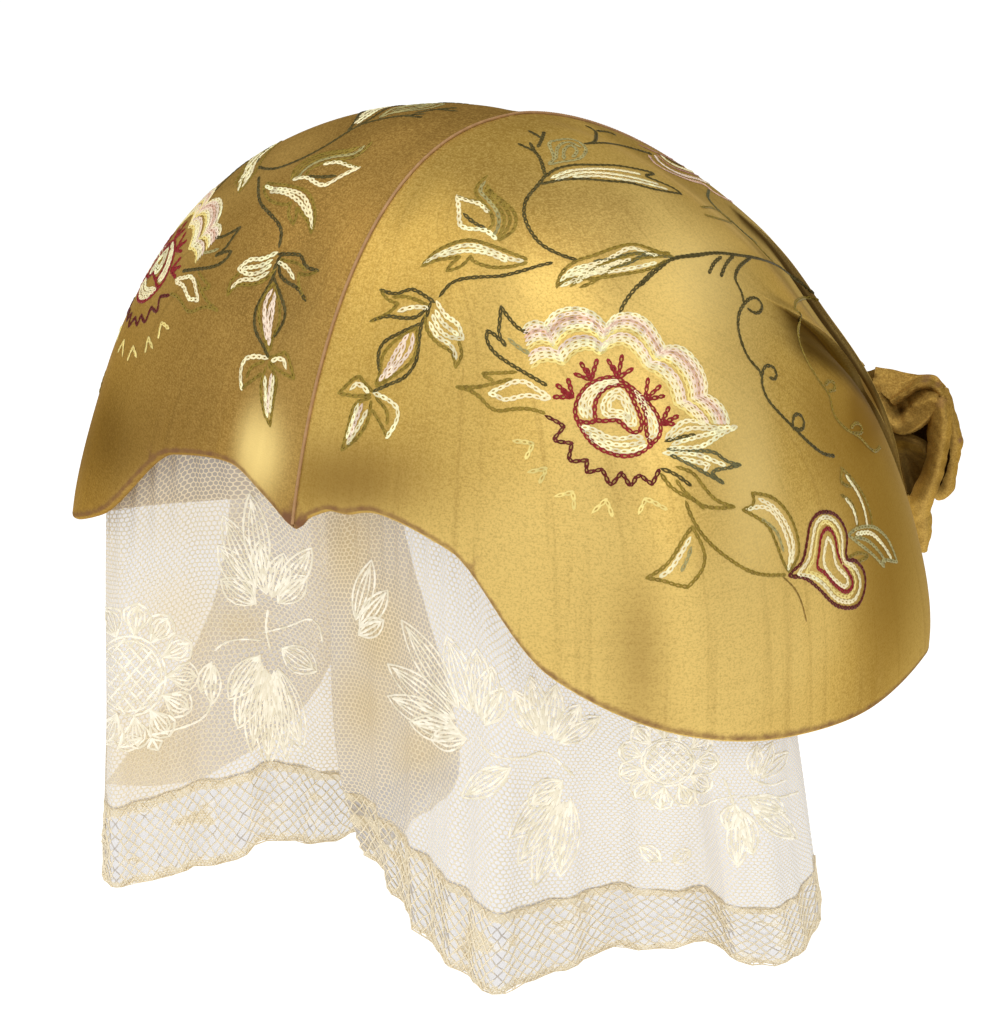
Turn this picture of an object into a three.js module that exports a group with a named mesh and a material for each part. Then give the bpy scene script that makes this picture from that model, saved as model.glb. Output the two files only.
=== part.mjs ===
// A stiff festive bonnet: two satin halves joined by a corded seam over the head, pleated into the nape
// under a small bow, with a gathered net frill and its coarse border hanging inside the front edge.
// Millimetres. +Z is up, the wearer looks along -Y and the wearer's left is +X.
// The origin is the middle of the head hollow, at the widest level, where a head carries the cap.
import * as THREE from 'three';

// Size of the shell, before it is tipped back on the head
const HALF_WIDTH = 78;
const FRONT_REACH = 46.4;
const BACK_REACH = 117;
const HEIGHT = 91.6;
const TOP_SHIFT = 5.6; // the highest point lies this far behind the widest level's middle
const TIP_BACK = THREE.MathUtils.degToRad(5.4);
const WALL = 2.0;
const SEAM_HALF_GAP = 0.15;
const FREE_GAP = 0.3;

// Squareness of the shell's outline from above, and of its rise from the widest level to the top
const PLAN_POWER_FRONT = 2.65;
const PLAN_POWER_BACK = 1.73;
const RISE_POWER = [
  { angle: 0, power: 2.5 },
  { angle: 90, power: 2.24 },
  { angle: 140, power: 1.65 },
  { angle: 180, power: 1.57 },
];

// Height of the lower edge round each half, by the angle from the front: peak, notch, ear lobe, nape
const EDGE = [
  { angle: 0, height: 25.1 },
  { angle: 10, height: 29.4 },
  { angle: 22, height: 32.8 },
  { angle: 38, height: 30.1 },
  { angle: 55, height: 12.0 },
  { angle: 72, height: 3.6 },
  { angle: 90, height: -0.4 },
  { angle: 108, height: -2.1 },
  { angle: 126, height: -0.5 },
  { angle: 145, height: -5.0 },
  { angle: 162, height: -3.0 },
  { angle: 180, height: 1.0 },
];
const TUCK = 0.07; // how much the wall draws in below the widest level
const NAPE_HOLLOW = { angle: 155, spread: 18, depth: 0.10 };

// The lower wall turns outwards: at the right ear lobe, and behind the left one
const FLARE = {
  right: { angle: 88, spread: 34, below: 34, reach: 5.0 },
  left: { angle: 132, spread: 20, below: 22, reach: 0.8 },
};

// The two knife pleats of each half: where each fold lies at a height up the wall, from 0 at the edge to 1
const LOW_PLEAT = [
  { up: 0.0, angle: 167 },
  { up: 0.14, angle: 165 },
  { up: 0.22, angle: 162.5 },
  { up: 0.28, angle: 160 },
  { up: 0.33, angle: 155.5 },
  { up: 0.44, angle: 132.5 },
  { up: 0.50, angle: 115 },
  { up: 0.56, angle: 99 },
  { up: 0.70, angle: 92 },
  { up: 1.0, angle: 90 },
];
const HIGH_PLEAT = [
  { up: 0.0, angle: 173 },
  { up: 0.20, angle: 169.5 },
  { up: 0.32, angle: 167.4 },
  { up: 0.42, angle: 166.6 },
  { up: 0.54, angle: 166 },
  { up: 0.64, angle: 164.5 },
  { up: 1.0, angle: 160 },
];
const PLEATS = [
  { line: LOW_PLEAT, height: 2.6, sunk: 1.6, fade: 16, tail: 0.40, head: 0.56 },
  { line: HIGH_PLEAT, height: 2.0, sunk: 0.8, fade: 7, tail: 0.46, head: 0.66 },
];
const FOLD_WIDTH = 1.2; // degrees over which a fold's edge drops

// Mesh density
const ROWS = 14;
const FRONT_COLUMNS = 24;
const BETWEEN_COLUMNS = 5;
const NAPE_COLUMNS = 3;

// The corded seam
const PIPING = { radius: 0.5, sides: 6, steps: 40 };

// The frill: where it is sewn in, and where it hangs, station by station from the right ear to the left.
// angle is the place inside the edge, inset the depth of the gather, hem the lower edge,
// and bulge moves the net most at two thirds of its drop.
const FRILL = [
  { angle: -62, inset: 0.0, hemX: -57.0, hemY: -38.0, hemZ: -57.0, bulgeX: 0, bulgeY: 0 },
  { angle: -54, inset: 0.4, hemX: -50.0, hemY: -40.0, hemZ: -57.5, bulgeX: 0, bulgeY: -1 },
  { angle: -44, inset: 0.6, hemX: -46.0, hemY: -30.0, hemZ: -57.0, bulgeX: 0, bulgeY: 0 },
  { angle: -30, inset: 0.2, hemX: -41.0, hemY: -20.5, hemZ: -56.0, bulgeX: 0, bulgeY: 2 },
  { angle: -17, inset: 0.8, hemX: -38.5, hemY: -13.5, hemZ: -54.0, bulgeX: -1, bulgeY: 2 },
  { angle: -6, inset: 2.0, hemX: -32.0, hemY: -9.5, hemZ: -53.0, bulgeX: -1, bulgeY: 2 },
  { angle: 4, inset: 5.0, hemX: -23.0, hemY: -5.5, hemZ: -50.5, bulgeX: 2, bulgeY: 2 },
  { angle: 14, inset: 6.0, hemX: -13.0, hemY: 7.0, hemZ: -42.0, bulgeX: 9, bulgeY: -4 },
  { angle: 14, inset: 3.6, hemX: -10.6, hemY: 6.0, hemZ: -42.5, bulgeX: 9, bulgeY: -5 },
  { angle: 5, inset: 2.8, hemX: -14.0, hemY: -5.0, hemZ: -49.0, bulgeX: 1, bulgeY: -2 },
  { angle: 2, inset: 0.6, hemX: -15.5, hemY: -9.0, hemZ: -50.0, bulgeX: 0, bulgeY: -4 },
  { angle: 10, inset: 0.4, hemX: -8.0, hemY: -13.0, hemZ: -50.0, bulgeX: 0, bulgeY: -3 },
  { angle: 19, inset: 0.6, hemX: 3.0, hemY: -20.0, hemZ: -50.0, bulgeX: 0, bulgeY: -2 },
  { angle: 29, inset: 0.2, hemX: 15.0, hemY: -27.0, hemZ: -50.0, bulgeX: 0, bulgeY: -1 },
  { angle: 38, inset: 0.6, hemX: 29.0, hemY: -33.0, hemZ: -50.0, bulgeX: 0, bulgeY: -1 },
  { angle: 47, inset: 0.2, hemX: 40.5, hemY: -35.0, hemZ: -50.0, bulgeX: 0, bulgeY: -1 },
  { angle: 53, inset: 0.4, hemX: 43.0, hemY: -22.0, hemZ: -50.0, bulgeX: -1, bulgeY: 1 },
  { angle: 59, inset: 0.6, hemX: 44.0, hemY: -10.0, hemZ: -50.0, bulgeX: -1, bulgeY: 2 },
  { angle: 65, inset: 0.6, hemX: 49.5, hemY: -4.0, hemZ: -50.0, bulgeX: -1, bulgeY: 1 },
  { angle: 71, inset: 1.2, hemX: 55.0, hemY: 5.0, hemZ: -50.0, bulgeX: 0, bulgeY: 1 },
  { angle: 75, inset: 0.4, hemX: 63.0, hemY: 2.5, hemZ: -50.0, bulgeX: 0, bulgeY: -1 },
  { angle: 80, inset: 0.2, hemX: 70.0, hemY: 8.0, hemZ: -50.0, bulgeX: 0, bulgeY: 0 },
  { angle: 86, inset: 0.6, hemX: 69.5, hemY: 16.0, hemZ: -50.0, bulgeX: 0, bulgeY: 0 },
  { angle: 91, inset: 1.2, hemX: 63.0, hemY: 27.0, hemZ: -47.0, bulgeX: 0, bulgeY: 0 },
];
const SEWN_UP = 0.075; // how far up the wall the frill is sewn in
const LACE_WALL = 0.9;
const FRILL_COLUMNS = 100;
const NET_ROWS = 5;
const BORDER_SHARE = 0.19; // share of the frill's drop that is the coarse border
const BORDER_JOIN = 0.005;

// The border's open work: rows of the strip, as shares of its height, and which columns each row pierces
const BORDER_ROWS = [
  { down: 0.0, pierced: 'none' },
  { down: 0.16, pierced: 'even' },
  { down: 0.50, pierced: 'none' },
  { down: 0.58, pierced: 'odd' },
  { down: 0.92, pierced: 'none' },
  { down: 1.0, pierced: 'end' },
];
const BORDER_COLUMNS = 117;

// The bow at the nape, seen from above: half of it, the other half mirrored
const BOW = { y: 114.7, top: 10.8, bottom: -7.5, wall: 1.6 };
const BOW_LOOP = [
  { x: 4.9, y: 0.2, rise: 0 },
  { x: 9.0, y: -0.6, rise: 0 },
  { x: 14.0, y: -2.2, rise: -0.5 },
  { x: 17.6, y: -2.0, rise: -1 },
  { x: 19.2, y: 2.4, rise: -1 },
  { x: 17.0, y: 7.2, rise: -0.5 },
  { x: 12.0, y: 10.6, rise: 0 },
  { x: 7.0, y: 10.6, rise: 0 },
  { x: 4.9, y: 7.8, rise: 0 },
];
const BOW_TAIL = { x: 13.2, width: 11, top: -8.3, bottom: -22, thickness: 2.2, lean: 2.4 };
const BOW_ROLL = { radius: 3.0, from: [3.8, 117.3, 12.9], mid: [10, 117.9, 13.6], to: [15.6, 116.5, 14.0] };
const BOW_KNOT = { halfWidth: 3.0, y: 120.5, depth: 10.2, top: 13.5, bottom: -10.5 };

const radians = THREE.MathUtils.degToRad;

// Smooth curve through a table's rows that never overshoots them (monotone cubic)
function tableCurve(rows, at, value) {
  const x = rows.map((row) => row[at]);
  const y = rows.map((row) => row[value]);
  const last = x.length - 1;
  const step = x.slice(1).map((next, i) => next - x[i]);
  const slope = step.map((h, i) => (y[i + 1] - y[i]) / h);
  const tangent = y.map((_, i) => {
    if (i === 0) return slope[0];
    if (i === last) return slope[last - 1];
    if (slope[i - 1] * slope[i] <= 0) return 0;
    const before = 2 * step[i] + step[i - 1];
    const after = step[i] + 2 * step[i - 1];
    return (before + after) / (before / slope[i - 1] + after / slope[i]);
  });
  return (place) => {
    const p = Math.min(Math.max(place, x[0]), x[last]);
    let i = 0;
    while (i < last - 1 && p > x[i + 1]) i += 1;
    const h = step[i];
    const s = (p - x[i]) / h;
    const rise = y[i] * (1 + 2 * s) * (1 - s) ** 2 + y[i + 1] * s * s * (3 - 2 * s);
    return rise + h * (tangent[i] * s * (1 - s) ** 2 + tangent[i + 1] * s * s * (s - 1));
  };
}

const edgeHeight = tableCurve(EDGE, 'angle', 'height');
const risePower = tableCurve(RISE_POWER, 'angle', 'power');
for (const pleat of PLEATS) {
  pleat.foldAngle = tableCurve(pleat.line, 'up', 'angle');
}

function bell(distance, spread) {
  return Math.exp(-((distance / spread) ** 2));
}

function smoothStep(from, to, value) {
  const s = Math.min(Math.max((value - from) / (to - from), 0), 1);
  return s * s * (3 - 2 * s);
}

// A point of the shell's plain form. angle is from the front, positive to the wearer's left, up is 0 to 1
function shellForm(angle, up) {
  const turn = Math.abs(angle);
  const sine = Math.sin(radians(angle));
  const cosine = Math.cos(radians(angle));
  const planPower = cosine > 0 ? PLAN_POWER_FRONT : PLAN_POWER_BACK;
  const reach = cosine > 0 ? FRONT_REACH : BACK_REACH;
  const across = Math.abs(sine / HALF_WIDTH) ** planPower + Math.abs(cosine / reach) ** planPower;
  const hollow = 1 - NAPE_HOLLOW.depth * bell(turn - NAPE_HOLLOW.angle, NAPE_HOLLOW.spread);
  const radius = across ** (-1 / planPower) * hollow;
  const power = risePower(turn);
  const edge = edgeHeight(turn) / HEIGHT;
  const start = edge > 0 ? Math.asin(edge ** (power / 2)) : 0;
  const below = Math.max(-edge, 0);
  const travelled = up * (below + Math.PI / 2 - start);
  let share;
  let z;
  if (travelled < below) {
    z = -(below - travelled);
    share = 1 - TUCK * z * z;
  } else {
    const climb = Math.min(start + travelled - below, Math.PI / 2);
    z = Math.sin(climb) ** (2 / power);
    share = Math.max(Math.cos(climb), 0) ** (2 / power);
  }
  let x = radius * sine * share;
  const y = TOP_SHIFT + (-radius * cosine - TOP_SHIFT) * share;
  z *= HEIGHT;
  const flare = angle < 0 ? FLARE.right : FLARE.left;
  const low = smoothStep(flare.below, 0, z);
  x += Math.sign(angle) * flare.reach * low * bell(turn - flare.angle, flare.spread);
  const cosTip = Math.cos(TIP_BACK);
  const sinTip = Math.sin(TIP_BACK);
  return new THREE.Vector3(x, y * cosTip + z * sinTip, z * cosTip - y * sinTip);
}

// Outward direction of the plain form, and a place at a depth under it
function shellNormal(angle, up) {
  const a = Math.min(Math.max(angle, -179.5), 179.5);
  const u = Math.min(Math.max(up, 0.004), 0.97);
  const alongAngle = shellForm(a + 0.5, u).sub(shellForm(a - 0.5, u));
  const alongUp = shellForm(a, u + 0.004).sub(shellForm(a, u - 0.004));
  const normal = alongAngle.cross(alongUp).normalize();
  if (Math.abs(angle) < 0.01 || Math.abs(angle) > 179.99 || up > 0.999) {
    normal.x = 0;
    normal.normalize();
  }
  return normal;
}

function underShell(angle, up, depth) {
  return shellForm(angle, up).addScaledVector(shellNormal(angle, up), -depth);
}

// How far the pleats stand over the plain form: each fold is full at its edge and dies away behind it,
// and the cloth dips beside the fold, where it is drawn in
function pleatRise(angle, up) {
  let rise = 0;
  for (const pleat of PLEATS) {
    const past = Math.abs(angle) - pleat.foldAngle(up);
    const strength = 1 - smoothStep(pleat.tail, pleat.head, up);
    const face = smoothStep(-FOLD_WIDTH / 2, FOLD_WIDTH / 2, past);
    rise += pleat.height * strength * face * Math.exp(-Math.max(past, 0) / pleat.fade);
    rise -= pleat.sunk * strength * smoothStep(-pleat.fade, 0, past);
  }
  return rise * smoothStep(180.5, 176, Math.abs(angle));
}

// Turns a grid of outer points and a grid of inner points into one closed wall
function wallBetween(outer, inner, open = () => false, ring = false) {
  const rows = outer.length;
  const columns = outer[0].length;
  const points = [];
  const corners = [];
  const index = (grid, i, j) => grid * rows * columns + i * columns + (j % columns);
  for (const grid of [outer, inner]) {
    for (const row of grid) points.push(...row);
  }
  const quad = (a, b, c, d) => corners.push(a, b, c, a, c, d);
  const cellColumns = ring ? columns : columns - 1;
  const solid = (i, j) => {
    if (i < 0 || i >= rows - 1) return false;
    if (!ring && (j < 0 || j >= cellColumns)) return false;
    return !open(i, (j + cellColumns) % cellColumns);
  };
  for (let i = 0; i < rows - 1; i += 1) {
    for (let j = 0; j < cellColumns; j += 1) {
      if (!solid(i, j)) continue;
      const [o00, o01] = [index(0, i, j), index(0, i, j + 1)];
      const [o10, o11] = [index(0, i + 1, j), index(0, i + 1, j + 1)];
      const [n00, n01] = [index(1, i, j), index(1, i, j + 1)];
      const [n10, n11] = [index(1, i + 1, j), index(1, i + 1, j + 1)];
      quad(o00, o01, o11, o10);
      quad(n00, n10, n11, n01);
      if (!solid(i - 1, j)) quad(o00, n00, n01, o01);
      if (!solid(i + 1, j)) quad(o10, o11, n11, n10);
      if (!solid(i, j - 1)) quad(o00, o10, n10, n00);
      if (!solid(i, j + 1)) quad(o01, n01, n11, o11);
    }
  }
  return closedGeometry(points, corners);
}

// Merges points that coincide, drops empty triangles and turns the faces outwards
function closedGeometry(points, corners) {
  const seen = new Map();
  const place = [];
  const merged = points.map((p) => {
    const key = [p.x, p.y, p.z].map((value) => Math.round(value * 500)).join();
    if (!seen.has(key)) {
      seen.set(key, place.length);
      place.push(p);
    }
    return seen.get(key);
  });
  const triangles = [];
  let volume = 0;
  for (let i = 0; i < corners.length; i += 3) {
    const [a, b, c] = [merged[corners[i]], merged[corners[i + 1]], merged[corners[i + 2]]];
    if (a === b || b === c || c === a) continue;
    triangles.push([a, b, c]);
    volume += place[a].dot(place[b].clone().cross(place[c]));
  }
  if (volume < 0) triangles.forEach((triangle) => triangle.reverse());
  const used = new Map();
  const positions = [];
  for (const triangle of triangles) {
    for (const corner of triangle) {
      if (used.has(corner)) continue;
      used.set(corner, used.size);
      positions.push(place[corner].x, place[corner].y, place[corner].z);
    }
  }
  const geometry = new THREE.BufferGeometry();
  geometry.setAttribute('position', new THREE.Float32BufferAttribute(positions, 3));
  geometry.setIndex(triangles.flat().map((corner) => used.get(corner)));
  geometry.computeVertexNormals();
  return geometry;
}

// The columns of a half: even steps from the seam to the low pleat, across it, and on to the nape
function columnAngle(column, up) {
  const low = PLEATS[0].foldAngle(up);
  const high = PLEATS[1].foldAngle(up);
  const half = FOLD_WIDTH / 2;
  if (column <= FRONT_COLUMNS) {
    const share = column / FRONT_COLUMNS;
    return share * (low - half);
  }
  const second = column - FRONT_COLUMNS - 1;
  if (second <= BETWEEN_COLUMNS) {
    return low + half + (second / BETWEEN_COLUMNS) * (high - low - 2 * half);
  }
  const third = second - BETWEEN_COLUMNS - 1;
  return high + half + (third / NAPE_COLUMNS) * (180 - high - half);
}

function crownHalf(side) {
  const columns = FRONT_COLUMNS + BETWEEN_COLUMNS + NAPE_COLUMNS + 3;
  const outer = [];
  const inner = [];
  for (let i = 0; i <= ROWS; i += 1) {
    const up = i / ROWS;
    const outerRow = [];
    const innerRow = [];
    for (let j = 0; j < columns; j += 1) {
      const angle = side * columnAngle(j, up);
      const normal = shellNormal(angle, up);
      const form = shellForm(angle, up);
      const shift = side * SEAM_HALF_GAP;
      const top = form.clone().addScaledVector(normal, pleatRise(angle, up));
      const under = form.clone().addScaledVector(normal, -WALL);
      if (side * under.x < 0) under.x = 0;
      top.x += shift;
      under.x += shift;
      outerRow.push(top);
      innerRow.push(under);
    }
    outer.push(outerRow);
    inner.push(innerRow);
  }
  return wallBetween(outer, inner);
}

// The cord over the seam: a tube just clear of the halves, from the front peak over the top to the nape
function seamPiping() {
  const spine = [];
  for (let i = 0; i <= PIPING.steps; i += 1) {
    const along = -1 + (2 * i) / PIPING.steps;
    const angle = along < 0 ? 0 : 180;
    const up = 1 - Math.abs(along) * 0.985;
    const lift = PIPING.radius + FREE_GAP + pleatRise(angle, up);
    spine.push(underShell(angle, up, -lift));
  }
  const path = new THREE.CatmullRomCurve3(spine);
  const section = new THREE.Shape();
  for (let k = 0; k < PIPING.sides; k += 1) {
    const turn = (k / PIPING.sides) * Math.PI * 2;
    const [x, y] = [PIPING.radius * Math.cos(turn), PIPING.radius * Math.sin(turn)];
    if (k === 0) section.moveTo(x, y);
    else section.lineTo(x, y);
  }
  const cord = new THREE.ExtrudeGeometry(section, { steps: PIPING.steps, extrudePath: path, curveSegments: 1 });
  cord.deleteAttribute('uv');
  cord.deleteAttribute('normal');
  return cord;
}

// Catmull-Rom value of a column of the frill's table, at a place counted in stations
function stationValue(name, place) {
  const last = FRILL.length - 1;
  const i = Math.min(Math.floor(place), last - 1);
  const s = place - i;
  const v = [-1, 0, 1, 2].map((k) => FRILL[Math.min(Math.max(i + k, 0), last)][name]);
  const a = 2 * v[1];
  const b = v[2] - v[0];
  const c = 2 * v[0] - 5 * v[1] + 4 * v[2] - v[3];
  const d = -v[0] + 3 * v[1] - 3 * v[2] + v[3];
  return 0.5 * (a + b * s + c * s * s + d * s * s * s);
}

// A point on the frill's middle surface: place in stations, down from 0 where it is sewn in to 1 at the hem
function frillPoint(place, down) {
  const value = (name) => stationValue(name, place);
  const depth = WALL + FREE_GAP + LACE_WALL / 2 + 0.25 + Math.max(value('inset'), 0);
  const sewn = underShell(value('angle'), SEWN_UP, depth);
  const hem = new THREE.Vector3(value('hemX'), value('hemY'), value('hemZ'));
  const point = sewn.clone().lerp(hem, down);
  const belly = 6.75 * down * down * (1 - down);
  point.x += value('bulgeX') * belly;
  point.y += value('bulgeY') * belly;
  return point;
}

// Stations are spaced evenly by the hem's length, so that the net's columns are of like width
function frillPlaces(count) {
  const fine = 600;
  const reach = [0];
  for (let i = 1; i <= fine; i += 1) {
    const span = (FRILL.length - 1) / fine;
    const a = frillPoint((i - 1) * span, 0.6);
    const b = frillPoint(i * span, 0.6);
    reach.push(reach[i - 1] + a.distanceTo(b));
  }
  const places = [];
  let k = 0;
  for (let j = 0; j <= count; j += 1) {
    const target = (reach[fine] * j) / count;
    while (k < fine - 1 && reach[k + 1] < target) k += 1;
    const part = (target - reach[k]) / (reach[k + 1] - reach[k]);
    places.push(((k + part) * (FRILL.length - 1)) / fine);
  }
  return places;
}

// The wall of a strip of the frill, between two shares of its drop
function frillStrip(columns, downs, open) {
  const places = frillPlaces(columns);
  const front = [];
  const rear = [];
  for (const down of downs) {
    const frontRow = [];
    const rearRow = [];
    places.forEach((place) => {
      const before = frillPoint(Math.max(place - 0.05, 0), down);
      const after = frillPoint(Math.min(place + 0.05, FRILL.length - 1), down);
      const along = after.sub(before);
      const fall = frillPoint(place, Math.min(down + 0.02, 1)).sub(frillPoint(place, Math.max(down - 0.02, 0)));
      const normal = along.cross(fall).normalize();
      const point = frillPoint(place, down);
      frontRow.push(point.clone().addScaledVector(normal, LACE_WALL / 2));
      rearRow.push(point.clone().addScaledVector(normal, -LACE_WALL / 2));
    });
    front.push(frontRow);
    rear.push(rearRow);
  }
  return wallBetween(front, rear, open);
}

function laceNet() {
  const end = 1 - BORDER_SHARE - BORDER_JOIN;
  const downs = [];
  for (let i = 0; i <= NET_ROWS; i += 1) downs.push((end * i) / NET_ROWS);
  return frillStrip(FRILL_COLUMNS, downs);
}

function laceBorder() {
  const downs = BORDER_ROWS.map((row) => 1 - BORDER_SHARE * (1 - row.down));
  const open = (i, j) => {
    const kind = BORDER_ROWS[i].pierced;
    if (j === 0 || j === BORDER_COLUMNS - 1) return false;
    return (kind === 'even' && j % 2 === 0) || (kind === 'odd' && j % 2 === 1);
  };
  return frillStrip(BORDER_COLUMNS, downs, open);
}

// Joins rings of points into one closed soft body, with a point at the middle of each end
function closedTube(rows, startPoint, endPoint) {
  const sides = rows[0].length;
  const rings = rows.length - 1;
  const points = [...rows.flat(), startPoint, endPoint];
  const [start, end] = [points.length - 2, points.length - 1];
  const corners = [];
  for (let k = 0; k < sides; k += 1) {
    const next = (k + 1) % sides;
    for (let i = 0; i < rings; i += 1) {
      const [a, b] = [i * sides + k, i * sides + next];
      const [c, d] = [(i + 1) * sides + next, (i + 1) * sides + k];
      corners.push(a, b, c, a, c, d);
    }
    corners.push(start, next, k);
    corners.push(end, rings * sides + k, rings * sides + next);
  }
  return closedGeometry(points, corners);
}

// A looped strap of the bow: its outline from above, carried up as a ring wall
function bowLoop(side) {
  const spine = BOW_LOOP.map((row) => new THREE.Vector3(side * row.x, BOW.y + row.y, row.rise));
  const curve = new THREE.CatmullRomCurve3(spine, true, 'catmullrom', 0.5);
  const count = 26;
  const levels = [0, 0.33, 0.67, 1];
  const outer = [];
  const inner = [];
  for (const level of levels) {
    const outerRow = [];
    const innerRow = [];
    const swell = 1.2 * Math.sin(Math.PI * level);
    for (let j = 0; j < count; j += 1) {
      const point = curve.getPoint(j / count);
      const along = curve.getTangent(j / count);
      const out = new THREE.Vector3(along.y, -along.x, 0).normalize().multiplyScalar(side);
      const z = BOW.bottom + (BOW.top - BOW.bottom) * level + point.z * (level - 0.5) * 2;
      const base = new THREE.Vector3(point.x, point.y, z).addScaledVector(out, swell * 0.4);
      outerRow.push(base.clone().addScaledVector(out, BOW.wall / 2));
      innerRow.push(base.clone().addScaledVector(out, -BOW.wall / 2));
    }
    outer.push(outerRow);
    inner.push(innerRow);
  }
  return wallBetween(outer, inner, () => false, true);
}

// A soft closed roll along a curve, round in section and closed at both ends
function bowRoll(side) {
  const ends = [BOW_ROLL.from, BOW_ROLL.mid, BOW_ROLL.to];
  const curve = new THREE.CatmullRomCurve3(ends.map(([x, y, z]) => new THREE.Vector3(side * x, y, z)));
  const rings = 7;
  const sides = 10;
  const rows = [];
  for (let i = 0; i <= rings; i += 1) {
    const s = i / rings;
    const centre = curve.getPoint(s);
    const along = curve.getTangent(s);
    const flat = new THREE.Vector3(0, 0, 1).cross(along).normalize();
    const high = along.clone().cross(flat).normalize();
    const radius = BOW_ROLL.radius * Math.sin(Math.PI * (0.16 + 0.68 * s)) ** 0.6;
    const row = [];
    for (let k = 0; k < sides; k += 1) {
      const turn = (k / sides) * Math.PI * 2;
      const offset = flat.clone().multiplyScalar(radius * 1.35 * Math.cos(turn));
      row.push(centre.clone().add(offset).addScaledVector(high, radius * 0.8 * Math.sin(turn)));
    }
    rows.push(row);
  }
  return closedTube(rows, curve.getPoint(0), curve.getPoint(1));
}

// A short hanging end of the bow, a tapered thick strip
function bowTail(side) {
  const outer = [];
  const inner = [];
  for (let i = 0; i <= 4; i += 1) {
    const share = i / 4;
    const z = BOW_TAIL.top + (BOW_TAIL.bottom - BOW_TAIL.top) * share;
    const width = BOW_TAIL.width * (1 - 0.25 * share);
    const outerRow = [];
    const innerRow = [];
    for (let j = 0; j <= 5; j += 1) {
      const across = j / 5 - 0.5;
      const x = side * (BOW_TAIL.x - 3 + across * width);
      const wave = 0.9 * Math.sin(across * Math.PI * 2);
      const y = BOW.y + 1.8 + wave + BOW_TAIL.lean * share;
      outerRow.push(new THREE.Vector3(x, y + BOW_TAIL.thickness / 2, z));
      innerRow.push(new THREE.Vector3(x, y - BOW_TAIL.thickness / 2, z));
    }
    outer.push(outerRow);
    inner.push(innerRow);
  }
  return wallBetween(outer, inner);
}

// The band round the middle of the bow, a soft upright pad
function bowKnot() {
  const levels = 6;
  const count = 14;
  const rows = [];
  for (let i = 0; i <= levels; i += 1) {
    const s = i / levels;
    const z = BOW_KNOT.bottom + (BOW_KNOT.top - BOW_KNOT.bottom) * s;
    const full = Math.sin(Math.PI * (0.14 + 0.72 * s)) ** 0.4;
    const row = [];
    for (let k = 0; k < count; k += 1) {
      const turn = (k / count) * Math.PI * 2;
      const x = BOW_KNOT.halfWidth * full * Math.sign(Math.cos(turn)) * Math.abs(Math.cos(turn)) ** 0.7;
      const depth = (BOW_KNOT.depth / 2) * full;
      const y = BOW_KNOT.y + depth * Math.sign(Math.sin(turn)) * Math.abs(Math.sin(turn)) ** 0.7;
      row.push(new THREE.Vector3(x, y, z));
    }
    rows.push(row);
  }
  const low = new THREE.Vector3(0, BOW_KNOT.y, BOW_KNOT.bottom);
  const high = new THREE.Vector3(0, BOW_KNOT.y, BOW_KNOT.top);
  return closedTube(rows, low, high);
}

const satin = () => new THREE.MeshStandardMaterial({ color: 0xb8903c, roughness: 0.42, metalness: 0 });
const piping = () => new THREE.MeshStandardMaterial({ color: 0x9a7430, roughness: 0.6, metalness: 0 });
const lace = () => new THREE.MeshStandardMaterial({ color: 0xece2c8, roughness: 0.85, metalness: 0 });

const bonnet = new THREE.Group();

function place(name, geometry, material) {
  const mesh = new THREE.Mesh(geometry, material);
  mesh.name = name;
  bonnet.add(mesh);
}

place('crown_left', crownHalf(1), satin());
place('crown_right', crownHalf(-1), satin());
place('seam_piping', seamPiping(), piping());
place('lace_net', laceNet(), lace());
place('lace_border', laceBorder(), lace());
for (const [name, side] of [['left', 1], ['right', -1]]) {
  place(`bow_loop_${name}`, bowLoop(side), satin());
  place(`bow_roll_${name}`, bowRoll(side), satin());
  place(`bow_tail_${name}`, bowTail(side), satin());
}
place('bow_knot', bowKnot(), satin());

export default bonnet;
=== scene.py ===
# %% [markdown]
# # A festive bonnet in gold satin, with its embroidery, bow and net frill
# The bonnet is a stiff cap of two satin halves. A packed set of plain solids gives every size and place,
# and this lesson dresses them: cloth, stitches, net and light. Lengths in the tables are in millimetres.

# %% Load the solids
import math

import bpy
import numpy as np
from mathutils import Matrix, Vector
from mathutils.bvhtree import BVHTree


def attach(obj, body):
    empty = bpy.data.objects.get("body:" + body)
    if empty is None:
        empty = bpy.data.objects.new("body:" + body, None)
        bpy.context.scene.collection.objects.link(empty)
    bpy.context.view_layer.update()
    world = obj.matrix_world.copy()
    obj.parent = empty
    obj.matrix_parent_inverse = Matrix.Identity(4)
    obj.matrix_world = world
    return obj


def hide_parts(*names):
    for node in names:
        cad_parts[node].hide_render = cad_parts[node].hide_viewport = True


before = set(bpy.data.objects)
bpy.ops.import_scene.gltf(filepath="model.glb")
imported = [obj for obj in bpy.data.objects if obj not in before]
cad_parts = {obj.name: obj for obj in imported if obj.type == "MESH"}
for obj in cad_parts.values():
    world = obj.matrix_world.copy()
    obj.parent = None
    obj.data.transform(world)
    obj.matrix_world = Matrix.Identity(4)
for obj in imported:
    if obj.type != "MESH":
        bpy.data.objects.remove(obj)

MM = 0.001
rng = np.random.default_rng(7)
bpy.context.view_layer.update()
print("solids:", sorted(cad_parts))

# %% [markdown]
# ## Camera
# The photograph looks at the bonnet from its left front and from a little above. The camera comes first,
# because the embroidery and the lace are charted on the photograph and then laid on the cloth along its rays.

# %% Camera at the photograph's angle
PHOTO_WIDTH, PHOTO_HEIGHT = 1000, 1029
CAMERA_PLACE = np.array([588.13, -634.91, 365.0])
CAMERA_TURN = math.radians(42.35)
CAMERA_TILT = math.radians(21.80)
CAMERA_LENS = 181.4
SENSOR = 36.0

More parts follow.
